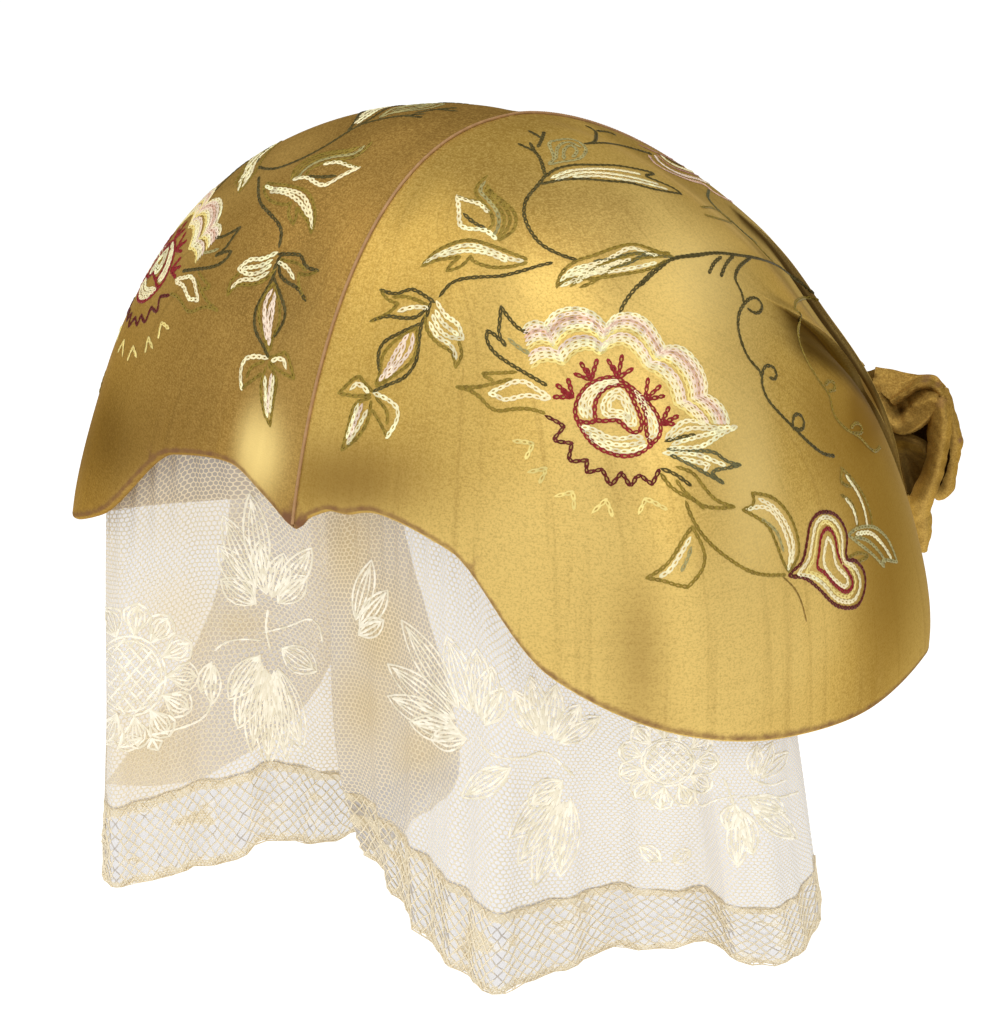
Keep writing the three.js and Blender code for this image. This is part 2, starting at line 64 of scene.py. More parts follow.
camera_right = np.array([math.cos(CAMERA_TURN), math.sin(CAMERA_TURN), 0.0])
camera_back = np.array([
    math.sin(CAMERA_TURN) * math.cos(CAMERA_TILT),
    -math.cos(CAMERA_TURN) * math.cos(CAMERA_TILT),
    math.sin(CAMERA_TILT),
])
camera_up = np.cross(camera_back, camera_right)
camera_data = bpy.data.cameras.new("camera")
camera_data.lens = CAMERA_LENS
camera_data.sensor_width = SENSOR
camera_data.sensor_fit = "AUTO"
camera_data.clip_start = 0.05
camera = bpy.data.objects.new("camera", camera_data)
bpy.context.scene.collection.objects.link(camera)
turned = Matrix([list(row) for row in np.stack([camera_right, camera_up, camera_back], 1)])
camera.matrix_world = Matrix.Translation(Vector(CAMERA_PLACE * MM)) @ turned.to_4x4()
bpy.context.scene.camera = camera
bpy.context.scene.view_settings.view_transform = "Standard"
FOCAL = CAMERA_LENS / SENSOR * PHOTO_HEIGHT
print("focal length in pixels:", round(FOCAL, 1))


def pixel_ray(x, y):
    """Direction from the camera through a pixel of the photograph."""
    across = camera_right * (x - PHOTO_WIDTH / 2) / FOCAL
    way = across - camera_up * (y - PHOTO_HEIGHT / 2) / FOCAL - camera_back
    return way / np.linalg.norm(way)


def at_depth(x, y, depth):
    """The point, in millimetres, that a pixel shows on the upright plane at depth along Y."""
    way = pixel_ray(x, y)
    return CAMERA_PLACE + way * (depth - CAMERA_PLACE[1]) / way[1]


# %% [markdown]
# ## Curves and grids
# Every cloth here starts as a flat grid primitive. A function then says where each point of the grid goes,
# as a hand would drape it. Short tables hold the form, and a smooth curve runs through their rows.

# %% Curve through a table, and soft steps
def table_curve(rows):
    """Smooth curve through (place, value) rows that never overshoots them."""
    x, y = (np.array(column, float) for column in zip(*rows))
    step = np.diff(x)
    slope = np.diff(y) / step
    tangent = np.concatenate([[slope[0]], np.zeros(len(x) - 2), [slope[-1]]])
    for i in range(1, len(x) - 1):
        if slope[i - 1] * slope[i] > 0:
            before, after = 2 * step[i] + step[i - 1], step[i] + 2 * step[i - 1]
            tangent[i] = (before + after) / (before / slope[i - 1] + after / slope[i])

    def value(place):
        p = np.clip(place, x[0], x[-1])
        i = np.clip(np.searchsorted(x, p, side="right") - 1, 0, len(step) - 1)
        h = step[i]
        s = (p - x[i]) / h
        rise = y[i] * (1 + 2 * s) * (1 - s) ** 2 + y[i + 1] * s * s * (3 - 2 * s)
        return rise + h * (tangent[i] * s * (1 - s) ** 2 + tangent[i + 1] * s * s * (s - 1))

    return value


def through_four(v0, v1, v2, v3, s):
    """Catmull-Rom value between v1 and v2, at share s."""
    return 0.5 * (2 * v1 + (v2 - v0) * s + (2 * v0 - 5 * v1 + 4 * v2 - v3) * s**2
                  + (-v0 + 3 * v1 - 3 * v2 + v3) * s**3)


def soft_step(start, end, value):
    s = np.clip((value - start) / (end - start), 0, 1)
    return s * s * (3 - 2 * s)


def bell(distance, spread):
    return np.exp(-((distance / spread) ** 2))


def unit(vectors):
    return vectors / np.maximum(np.linalg.norm(vectors, axis=-1, keepdims=True), 1e-9)


# %% Draped grid: primitive, form, finish
def drop_selection():
    if bpy.context.object and bpy.context.object.mode != "OBJECT":
        bpy.ops.object.mode_set(mode="OBJECT")
    bpy.ops.object.select_all(action="DESELECT")


def select_only(piece):
    drop_selection()
    bpy.context.view_layer.objects.active = piece
    piece.select_set(True)


def draped_grid(name, columns, rows, form):
    """A grid primitive whose points go where form(across, along) says. Its UV map keeps across and along."""
    drop_selection()
    bpy.ops.mesh.primitive_grid_add(x_subdivisions=columns, y_subdivisions=rows, size=1, calc_uvs=True)
    piece = bpy.context.object
    piece.name = name
    piece.data.name = name
    flat = np.zeros(len(piece.data.vertices) * 3)
    piece.data.vertices.foreach_get("co", flat)
    flat = flat.reshape(-1, 3)
    across = np.round((flat[:, 0] + 0.5) * columns) / columns
    along = np.round((flat[:, 1] + 0.5) * rows) / rows
    placed = form(across, along) * MM
    piece.data.vertices.foreach_set("co", placed.ravel())
    piece.data.update()
    return piece


def scale_uv(piece, width, height):
    """Stretches a grid's UV map to the size of the cloth, in millimetres."""
    flat = np.zeros(len(piece.data.loops) * 2)
    piece.data.uv_layers.active.data.foreach_get("uv", flat)
    piece.data.uv_layers.active.data.foreach_set("uv", (flat.reshape(-1, 2) * [width, height]).ravel())


def edit(piece, *steps):
    """Selects all of a piece in edit mode and runs the steps there."""
    select_only(piece)
    bpy.ops.object.mode_set(mode="EDIT")
    bpy.ops.mesh.select_all(action="SELECT")
    for step in steps:
        step()
    bpy.ops.object.mode_set(mode="OBJECT")


def merge_points():
    bpy.ops.mesh.remove_doubles(threshold=0.00002)


def close_open_edges():
    bpy.ops.mesh.select_all(action="DESELECT")
    bpy.ops.mesh.select_non_manifold(extend=False, use_boundary=True, use_wire=False, use_multi_face=False,
                                     use_non_contiguous=False, use_verts=False)
    bpy.ops.mesh.fill()
    bpy.ops.mesh.select_all(action="SELECT")


def face_outwards():
    bpy.ops.mesh.normals_make_consistent(inside=False)


def apply_modifiers(piece):
    select_only(piece)
    for modifier in list(piece.modifiers):
        bpy.ops.object.modifier_apply(modifier=modifier.name)


def smooth(piece, degrees=50):
    select_only(piece)
    bpy.ops.object.shade_smooth_by_angle(angle=math.radians(degrees))


def triangle_count(piece):
    return sum(len(face.vertices) - 2 for face in piece.data.polygons)


# %% [markdown]
# ## The shell's form
# The shell is a rounded box seen from above and an arch seen from the side, tipped back on the head. These
# are the named sizes that the solids have, so the cloth lies over them. Only the notch by the peak is finer.

# %% Shell sizes and tables
HALF_WIDTH = 78.0
FRONT_REACH = 46.4
BACK_REACH = 117.0
HEIGHT = 91.6
TOP_SHIFT = 5.6
TIP_BACK = math.radians(5.4)
WALL = 2.0  # thickness of the stiffened halves
SEAM_HALF_GAP = 0.10
PLAN_POWER_FRONT = 2.65
PLAN_POWER_BACK = 1.73
TUCK = 0.07
NAPE_HOLLOW = {"angle": 155, "spread": 18, "depth": 0.10}
# the left arch starts with a steep step beside the peak, which is a little rounded
LEFT_NOTCH = {"rise": 1.7, "start": 0.3, "full": 3.2, "level": 8, "end": 15.5}
PEAK_LIFT = {"rise": 0.5, "spread": 1.6}
FLARE_RIGHT = {"angle": 88, "spread": 34, "below": 34, "reach": 5.0}
FLARE_LEFT = {"angle": 132, "spread": 20, "below": 22, "reach": 0.8}
rise_power = table_curve([(0, 2.5), (90, 2.24), (140, 1.65), (180, 1.57)])
edge_height = table_curve([
    (0, 25.1), (10, 29.4), (22, 32.8), (38, 30.1), (55, 12.0), (72, 3.6),
    (90, -0.4), (108, -2.1), (126, -0.5), (145, -5.0), (162, -3.0), (180, 1.0),
])
low_fold = table_curve([
    (0.0, 167), (0.14, 165), (0.22, 162.5), (0.28, 160), (0.33, 155.5),
    (0.44, 132.5), (0.50, 115), (0.56, 99), (0.70, 92), (1.0, 90),
])
high_fold = table_curve([
    (0.0, 173), (0.20, 169.5), (0.32, 167.4), (0.42, 166.6), (0.54, 166), (0.64, 164.5), (1.0, 160),
])


def shell_form(angle, up):
    """A point of the plain shell. angle counts from the front to the wearer's left, up from 0 to 1."""
    angle, up = np.broadcast_arrays(np.asarray(angle, float), np.asarray(up, float))
    turn = np.abs(angle)
    sine, cosine = np.sin(np.radians(angle)), np.cos(np.radians(angle))
    plan_power = np.where(cosine > 0, PLAN_POWER_FRONT, PLAN_POWER_BACK)
    reach = np.where(cosine > 0, FRONT_REACH, BACK_REACH)
    spread = np.abs(sine / HALF_WIDTH) ** plan_power + np.abs(cosine / reach) ** plan_power
    hollow = 1 - NAPE_HOLLOW["depth"] * bell(turn - NAPE_HOLLOW["angle"], NAPE_HOLLOW["spread"])
    radius = spread ** (-1 / plan_power) * hollow
    power = rise_power(turn)
    notch = LEFT_NOTCH["rise"] * soft_step(LEFT_NOTCH["start"], LEFT_NOTCH["full"], angle)
    notch = notch * soft_step(LEFT_NOTCH["end"], LEFT_NOTCH["level"], angle)
    peak = PEAK_LIFT["rise"] * bell(turn, PEAK_LIFT["spread"])
    edge = (edge_height(turn) + notch + peak) / HEIGHT
    start = np.where(edge > 0, np.arcsin(np.clip(edge, 0, 1) ** (power / 2)), 0)
    below = np.maximum(-edge, 0)
    travelled = up * (below + math.pi / 2 - start)
    low = travelled < below
    climb = np.clip(start + travelled - below, 0, math.pi / 2)
    z = np.where(low, travelled - below, np.sin(climb) ** (2 / power))
    share = np.where(low, 1 - TUCK * z * z, np.maximum(np.cos(climb), 0) ** (2 / power))
    z = z * HEIGHT
    x = radius * sine * share
    y = TOP_SHIFT + (-radius * cosine - TOP_SHIFT) * share
    for flare, side in ((FLARE_RIGHT, -1), (FLARE_LEFT, 1)):
        push = flare["reach"] * soft_step(flare["below"], 0, z) * bell(turn - flare["angle"], flare["spread"])
        x = x + np.where(np.sign(angle) == side, side * push, 0)
    return np.stack([x, y * math.cos(TIP_BACK) + z * math.sin(TIP_BACK),
                     z * math.cos(TIP_BACK) - y * math.sin(TIP_BACK)], -1)


def shell_normal(angle, up):
    """Outward direction of the plain shell."""
    a = np.clip(angle, -179.5, 179.5)
    u = np.clip(up, 0.004, 0.97)
    around = shell_form(a + 0.5, u) - shell_form(a - 0.5, u)
    upward = shell_form(a, u + 0.004) - shell_form(a, u - 0.004)
    normal = unit(np.cross(around, upward))
    middle = (np.abs(angle) < 0.01) | (np.abs(angle) > 179.99) | (np.asarray(up) > 0.999)
    normal[..., 0] = np.where(middle, 0, normal[..., 0])
    return unit(normal)


print("edge at the peak:", np.round(shell_form(0, 0), 1), "top:", np.round(shell_form(0, 1), 1))

# %% [markdown]
# ## Two satin halves
# Each half is one grid that runs from the top down the lining, round the turned edge and up the satin again.
# Its columns follow the two nape pleats, so that their folds stay crisp. The cloth above the front edge
# is drawn into soft puckers by the hem stitches.

# %% Pleats, puckers and the columns that follow them
PLEATS = [
    {"fold": low_fold, "height": 2.6, "sunk": 1.6, "fade": 16, "tail": 0.40, "head": 0.56, "lap": 2.2},
    {"fold": high_fold, "height": 2.0, "sunk": 0.8, "fade": 7, "tail": 0.46, "head": 0.66, "lap": 1.6},
]
FOLD_SPAN = 1.2  # degrees over which a fold's edge drops
PUCKER = {"height": 0.20, "reach": 0.16}
COLUMNS_FRONT, COLUMNS_FOLD, COLUMNS_BETWEEN, COLUMNS_NAPE = 132, 6, 20, 10
CROWN_COLUMNS = COLUMNS_FRONT + COLUMNS_BETWEEN + COLUMNS_NAPE + 2 * COLUMNS_FOLD
ROWS_WALL, ROWS_RIM, ROWS_LINING = 84, 6, 24
CROWN_ROWS = ROWS_LINING + ROWS_RIM + ROWS_WALL


def fold_strength(pleat, up):
    return 1 - soft_step(pleat["tail"], pleat["head"], up)


def pleat_rise(angle, up):
    """How far the cloth stands over the plain shell at the pleats."""
    rise = np.zeros(np.broadcast(angle, up).shape)
    for pleat in PLEATS:
        past = np.abs(angle) - pleat["fold"](up)
        strength = fold_strength(pleat, up)
        face = soft_step(-FOLD_SPAN / 2, FOLD_SPAN / 2, past)
        rise = rise + pleat["height"] * strength * face * np.exp(-np.maximum(past, 0) / pleat["fade"])
        rise = rise - pleat["sunk"] * strength * soft_step(-pleat["fade"], 0, past)
    return rise * soft_step(180.5, 176, np.abs(angle))


def pucker_rise(angle, up):
    """Shallow upright ripples over the front edge, uneven as hand sewing leaves them."""
    turn = np.abs(angle)
    ripple = np.sin(turn * 2.1 + 0.8 * np.sin(turn * 0.37))
    ripple = ripple + 0.6 * np.sin(turn * 3.7 + 1.3) + 0.5 * np.sin(turn * 1.13 + 0.4)
    strength = (1 - soft_step(100, 150, turn)) * (0.35 + 0.65 * bell(turn - 22, 26))
    length = PUCKER["reach"] * (0.7 + 0.3 * np.sin(turn * 0.9 + 1))
    return PUCKER["height"] * ripple * strength * np.exp(-up / length) * soft_step(0, 0.02, up)


DENTS = [
    # angle, up, spread of angle, spread of up, height
    (14, 0.45, 7, 0.5, 0.35),
    (30, 0.30, 6, 0.25, -0.30),
    (46, 0.62, 10, 0.22, 0.55),
    (60, 0.35, 9, 0.18, -0.45),
    (74, 0.16, 8, 0.14, 0.50),
    (88, 0.42, 10, 0.16, 0.35),
    (104, 0.20, 10, 0.15, -0.45),
    (64, 0.70, 12, 0.10, -0.40),
]


def dent_rise(angle, up):
    """Soft hollows and swellings that stiffened silk keeps. The right half has its own, a little shifted."""
    turn = np.abs(angle) + np.where(np.asarray(angle) < 0, 6.0, 0.0)
    rise = np.zeros(np.broadcast(angle, up).shape)
    for place, height_up, wide, tall, height in DENTS:
        rise = rise + height * bell(turn - place, wide) * bell(up - height_up, tall)
    return rise


def column_angle(column, up):
    """Angle of a column: even steps to each fold, close steps across it."""
    low, high = low_fold(up), high_fold(up)
    half = FOLD_SPAN / 2
    stops = [0 * low, low - half, low + half, high - half, high + half, 180 + 0 * low]
    counts = [COLUMNS_FRONT, COLUMNS_FOLD, COLUMNS_BETWEEN, COLUMNS_FOLD, COLUMNS_NAPE]
    angle = 180 + 0 * low
    first = 0
    for start, end, count in zip(stops[:-1], stops[1:], counts):
        inside = (column >= first) & (column <= first + count)
        angle = np.where(inside, start + (end - start) * (column - first) / count, angle)
        first += count
    return angle


def crown_surface(turn, up, side):
    """The satin's face on one half, with its pleats and puckers."""
    angle = side * turn
    rise = pleat_rise(angle, up) + pucker_rise(angle, up) + dent_rise(angle, up)
    return shell_form(angle, up) + shell_normal(angle, up) * rise[..., None]


def crown_form(side):
    def form(across, along):
        row = np.round(along * CROWN_ROWS)
        column = np.round(across * CROWN_COLUMNS)
        wall_row = row - ROWS_LINING - ROWS_RIM
        up = np.where(row <= ROWS_LINING, 1 - row / ROWS_LINING, np.maximum(wall_row, 0) / ROWS_WALL)
        turn = column_angle(column, up)
        angle = side * turn
        normal = shell_normal(angle, up)
        base = shell_form(angle, up)
        outer = crown_surface(turn, up, side)
        inner = base - normal * WALL
        inner[:, 0] = np.where(side * inner[:, 0] < 0, 0, inner[:, 0])
        middle, half = (outer + inner) / 2, (outer - inner) / 2
        swing = np.clip((row - ROWS_LINING) / ROWS_RIM, 0, 1) * math.pi
        down = unit(shell_form(angle, 0 * up) - shell_form(angle, 0 * up + 0.01))
        rim = middle - half * np.cos(swing)[:, None] + down * (np.sin(swing) * WALL / 2)[:, None]
        placed = np.where((wall_row > 0)[:, None], outer, rim)
        placed = np.where((row < ROWS_LINING)[:, None], inner, placed)
        lap = np.zeros(len(row))
        for pleat in PLEATS:
            past = turn - pleat["fold"](up)
            crest = soft_step(-0.1, FOLD_SPAN / 2, past) * bell(np.maximum(past - FOLD_SPAN / 2, 0), 2.5)
            lap = lap + pleat["lap"] * crest * fold_strength(pleat, up) * (wall_row > 0)
        ahead = unit(shell_form(angle - side, up) - base)
        placed = placed + ahead * lap[:, None]
        placed[:, 0] += side * SEAM_HALF_GAP
        return placed

    return form


# %% Make the halves
crowns = {}
for side_name, side in (("left", 1), ("right", -1)):
    crown = draped_grid(f"satin_{side_name}", CROWN_COLUMNS, CROWN_ROWS, crown_form(side))
    edit(crown, merge_points, close_open_edges, face_outwards)
    smooth(crown, 55)
    crowns[side_name] = crown
    print(crown.name, triangle_count(crown), "triangles")

# %% [markdown]
# ## Colour of the satin
# Silk satin is smooth one way and ribbed the other, so it shines in upright bands. A group of nodes gives
# the bands, the faded patches, a dark mottling that is painted shade of small dents, and the brown wear
# where the edge is turned. It also mixes in painted shade and painted highlight from two attributes.
# Its upright runs follow the cloth's own UV map: across is the angle round the cap and along is the way from
# the lining to the top.

# %% Node helpers
def new_group(name, inputs, outputs):
    group = bpy.data.node_groups.new(name, "ShaderNodeTree")
    for label, kind, value in inputs:
        socket = group.interface.new_socket(name=label, in_out="INPUT", socket_type=kind)
        if value is not None:
            socket.default_value = value
    for label, kind in outputs:
        group.interface.new_socket(name=label, in_out="OUTPUT", socket_type=kind)
    return group, group.nodes.new("NodeGroupInput"), group.nodes.new("NodeGroupOutput")


class Nodes:
    """Adds nodes to a tree in a few words and joins them."""

    def __init__(self, tree):
        self.tree = tree

    def add(self, kind, values=None, **settings):
        node = self.tree.nodes.new(kind)
        for key, value in settings.items():
            setattr(node, key, value)
        for key, value in (values or {}).items():
            self.give(node.inputs[key], value)
        return node

    def give(self, socket, value):
        if isinstance(value, bpy.types.NodeSocket):
            self.tree.links.new(value, socket)
        else:
            socket.default_value = value

    def math(self, operation, first, second=0.5, third=None):
        node = self.add("ShaderNodeMath", {0: first, 1: second}, operation=operation)
        if third is not None:
            self.give(node.inputs[2], third)
        return node.outputs[0]

    def vector(self, operation, first, second=None, scale=None):
        node = self.add("ShaderNodeVectorMath", {0: first}, operation=operation)
        if second is not None:
            self.give(node.inputs[1], second)
        if scale is not None:
            self.give(node.inputs["Scale"], scale)
        return node.outputs["Value"] if operation == "LENGTH" else node.outputs[0]

    def ramp(self, value, start, end, low=0.0, high=1.0):
        limits = {"Value": value, "From Min": start, "From Max": end, "To Min": low, "To Max": high}
        node = self.add("ShaderNodeMapRange", limits, interpolation_type="SMOOTHSTEP")
        return node.outputs[0]

    def mix(self, share, first, second):
        node = self.add("ShaderNodeMix", data_type="RGBA")
        self.give(node.inputs["Factor"], share)
        self.give(node.inputs[6], first)
        self.give(node.inputs[7], second)
        return node.outputs[2]

    def noise(self, vector, scale, detail=2.0, rough=0.5):
        settings = {"Vector": vector, "Scale": scale, "Detail": detail, "Roughness": rough}
        return self.add("ShaderNodeTexNoise", settings).outputs["Fac"]

    def bump(self, shader, strength, height):
        node = self.add("ShaderNodeBump", {"Strength": strength, "Distance": WEAVE_DEPTH, "Height": height})
        self.give(shader.inputs["Normal"], node.outputs["Normal"])


def rgb(red, green, blue):
    """A colour as read off a picture, 0 to 255, made linear."""
    levels = [c / 255 for c in (red, green, blue)]
    linear = [c / 12.92 if c <= 10 / 255 else ((c + 0.055) / 1.055) ** 2.4 for c in levels]
    return (*linear, 1.0)


def new_material(name):
    material = bpy.data.materials.new(name)
    material.use_nodes = True
    tree = material.node_tree
    return material, Nodes(tree), tree.nodes["Principled BSDF"]


WEAVE_DEPTH = 0.0002  # metres that a bump stands for
LACE_SHINE = 0.1  # cotton hardly shines


def make_matte(n, shader, colour, glow, roughness=0.9):
    """Soft cotton thread: a matte colour with a faint painted glow, for the light that it lets through."""
    n.give(shader.inputs["Base Color"], colour)
    n.give(shader.inputs["Emission Color"], colour)
    shader.inputs["Emission Strength"].default_value = glow
    shader.inputs["Roughness"].default_value = roughness
    shader.inputs["Specular IOR Level"].default_value = LACE_SHINE


# %% Satin group: bands, fading, wear at the edge, painted shade and painted highlight
SATIN_GOLD, SATIN_LIGHT, SATIN_DEEP = rgb(188, 144, 44), rgb(214, 174, 74), rgb(140, 96, 26)
WORN_BROWN = rgb(136, 98, 70)
PAINTED_SHADE_BROWN = rgb(58, 38, 16)
SATIN_PAINTED_HIGHLIGHT = rgb(250, 220, 140)
SATIN_SHEEN = {
    "Metallic": 0.42, "Anisotropic": 0.6, "Anisotropic Rotation": 0.25,
    "Specular IOR Level": 0.0, "Specular Tint": (0.85, 0.62, 0.30, 1.0),
}
satin_group, satin_in, satin_out = new_group(
    "satin_cloth",
    [("UV", "NodeSocketVector", None), ("Place", "NodeSocketVector", None), ("Edge", "NodeSocketFloat", 0.0),
     ("Painted_Shade", "NodeSocketFloat", 0.0), ("Painted_Light_And_Shade", "NodeSocketFloat", 0.0),
     ("Gold", "NodeSocketColor", SATIN_GOLD), ("Light", "NodeSocketColor", SATIN_LIGHT),
     ("Deep", "NodeSocketColor", SATIN_DEEP), ("Worn", "NodeSocketColor", WORN_BROWN)],
    [("Color", "NodeSocketColor"), ("Roughness", "NodeSocketFloat"), ("Height", "NodeSocketFloat")],
)
n = Nodes(satin_group)
place = satin_in.outputs["Place"]
patches = n.noise(place, 16.0, 2.0, 0.5)
# a random dark mottling: painted shade of small dents in the cloth
dent_shade = n.noise(n.vector("ADD", place, (0.7, 0.2, 0.4)), 30.0, 1.0, 0.4)
weft = n.noise(n.vector("MULTIPLY", place, (900.0, 900.0, 5200.0)), 1.0, 2.0, 0.6)
weft_runs = n.noise(n.vector("MULTIPLY", place, (40.0, 40.0, 900.0)), 1.0, 2.0, 0.6)
warp_runs = n.noise(n.vector("MULTIPLY", satin_in.outputs["UV"], (110.0, 2.4, 1.0)), 1.0, 2.0, 0.6)
speckle = n.noise(place, 2600.0, 2.0, 0.7)
colour = n.mix(n.ramp(patches, 0.38, 0.66), satin_in.outputs["Gold"], satin_in.outputs["Light"])
for pattern, low, high, share, shade in [
    (dent_shade, 0.50, 0.30, 0.45, "Deep"),
    (weft_runs, 0.48, 0.28, 0.08, "Deep"),
    (weft, 0.48, 0.70, 0.26, "Light"),
    (weft, 0.52, 0.30, 0.20, "Deep"),
    (warp_runs, 0.48, 0.30, 0.22, "Deep"),
    (speckle, 0.48, 0.66, 0.42, "Light"),
    (speckle, 0.52, 0.36, 0.26, "Deep"),
]:
    colour = n.mix(n.math("MULTIPLY", n.ramp(pattern, low, high), share), colour, satin_in.outputs[shade])
# painted shade where the tone input is below 0, painted highlight where it is above 0, then painted shade in
# the creases
colour = n.mix(n.ramp(satin_in.outputs["Painted_Light_And_Shade"], 0.0, -1.0), colour, satin_in.outputs["Deep"])
colour = n.mix(n.ramp(satin_in.outputs["Painted_Light_And_Shade"], 0.0, 1.0), colour, SATIN_PAINTED_HIGHLIGHT)
colour = n.mix(n.math("MULTIPLY", satin_in.outputs["Painted_Shade"], 0.92), colour, PAINTED_SHADE_BROWN)
roughen = n.math("SUBTRACT", n.noise(place, 520.0, 3.0, 0.65), 0.5)
frayed = n.math("MULTIPLY_ADD", roughen, 0.45, satin_in.outputs["Edge"])
colour = n.mix(n.ramp(frayed, 0.40, 0.85), colour, satin_in.outputs["Worn"])
height = n.math("MULTIPLY_ADD", weft, 0.6, n.math("MULTIPLY", speckle, 0.5))
height = n.math("MULTIPLY_ADD", warp_runs, 0.8, height)
n.give(satin_out.inputs["Color"], colour)
n.give(satin_out.inputs["Roughness"], n.ramp(frayed, 0.3, 0.8, 0.46, 0.85))
n.give(satin_out.inputs["Height"], height)


def satin_material(name, gold, light, deep, worn=WORN_BROWN, strength=0.25):
    """Satin whose wear follows the attribute edge_wear, its painted shade the attribute crease, and its
    painted highlight and shade the attribute tone.
    """
    material, n, shader = new_material(name)
    place = n.add("ShaderNodeTexCoord")
    cloth = n.add("ShaderNodeGroup", node_tree=satin_group)
    n.give(cloth.inputs["UV"], place.outputs["UV"])
    n.give(cloth.inputs["Place"], place.outputs["Object"])
    for label, attribute in (("Edge", "edge_wear"), ("Painted_Shade", "crease"), ("Painted_Light_And_Shade", "tone")):
        n.give(cloth.inputs[label], n.add("ShaderNodeAttribute", attribute_name=attribute).outputs["Fac"])
    for label, value in (("Gold", gold), ("Light", light), ("Deep", deep), ("Worn", worn)):
        n.give(cloth.inputs[label], value)
    n.give(shader.inputs["Base Color"], cloth.outputs["Color"])
    n.give(shader.inputs["Roughness"], cloth.outputs["Roughness"])
    n.bump(shader, strength, cloth.outputs["Height"])
    for label, value in SATIN_SHEEN.items():
        shader.inputs[label].default_value = value
    return material


def dress(piece, material, node=None):
    """Gives a piece its material, hides the plain solid node that it stands for, and hangs it on the root."""
    piece.data.materials.append(material)
    if node:
        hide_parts(node)
    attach(piece, "root")


def set_wear(piece, values, name="edge_wear"):
    """Writes a value for each point of a piece, which its material reads by name."""
    layer = piece.data.attributes.get(name) or piece.data.attributes.new(name, "FLOAT", "POINT")
    layer.data.foreach_set("value", values.astype(np.float32))


def points_of(piece):
    co = np.zeros(len(piece.data.vertices) * 3)
    piece.data.vertices.foreach_get("co", co)
    return co.reshape(-1, 3) / MM


# %% Lay the satin on the halves, with its wear, painted shade and painted highlight
# how far the painted shade under a pleat's lip reaches
PAINTED_SHADE_REACH = 5.0
LIP_PAINTED_HIGHLIGHT = 0.45  # painted highlight along a pleat's lip
NAPE_PAINTED_SHADE = 0.26  # painted shade: the cloth is darker towards the nape
WEAR_SPOTS = [
    # pixel, radius in mm, amount
    ((288, 508), 2.6, 0.95), ((299, 522), 2.2, 0.95), ((477, 561), 1.5, 0.78),
    ((345, 514), 2.0, 0.6),
]
CROWN_SATIN = {
    # the right half gets darker colours: painted shade for the weaker sheen of its nap, which runs the other
    # way
    "left": satin_material("gold_satin_left", rgb(200, 164, 82), rgb(226, 194, 114), rgb(140, 106, 46)),
    "right": satin_material("gold_satin_right", rgb(164, 128, 64), rgb(198, 162, 90), rgb(108, 80, 38)),
}


SATIN_LIGHT_AND_SHADE_PATCHES = [
    # half, pixel, width and height in mm, amount: painted highlight where the amount is above 0, painted
    # shade where it is below 0
    ("left", (345, 480), 17, 9, -0.72),
    ("left", (640, 655), 6, 17, -0.48),
    ("both", (888, 590), 8, 26, -0.72),
    ("both", (855, 450), 8, 16, -0.40),
    ("left", (760, 475), 9, 22, 0.62),
    ("left", (808, 405), 7, 17, -0.50),
    ("both", (868, 402), 2.6, 6, -0.95),
    ("left", (800, 680), 8, 12, 0.12),
    ("left", (700, 280), 9, 14, 0.48),
    ("left", (560, 600), 6, 20, -0.08),
    ("right", (105, 440), 14, 12, -0.60),
    ("right", (215, 415), 7, 14, -0.25),
    ("right", (256, 450), 5, 9, 0.95),
    ("right", (300, 340), 10, 16, 0.12),
]


def beside_ray(place, pixel, tall=1.0):
    """Distance of each place from the line of sight of a pixel. tall > 1 makes the reach upright."""
    way = pixel_ray(*pixel)
    offset = place - CAMERA_PLACE
    offset = offset - (offset @ way)[:, None] * way
    upright = unit(np.array([0, 0, 1.0]) - way[2] * way)
    height = offset @ upright
    offset = offset - height[:, None] * upright
    return np.sqrt((offset ** 2).sum(1) + (height / tall) ** 2)


def with_marks(place, marks, values):
    """Raises the values at each place to the strongest mark that reaches it."""
    for pixel, radius, amount in marks:
        values = np.maximum(values, amount * bell(beside_ray(place, pixel), radius))
    return values


def nearest_on(line, place, block=4000):
    """Distance from each place to the nearest point of a dense line, and which point that is."""
    far, which = np.zeros(len(place)), np.zeros(len(place), int)
    for start in range(0, len(place), block):
        part = place[start:start + block]
        gaps = ((part[:, None, :] - line[None]) ** 2).sum(2)
        which[start:start + block] = gaps.argmin(1)
        far[start:start + block] = np.sqrt(gaps.min(1))
    return far, which


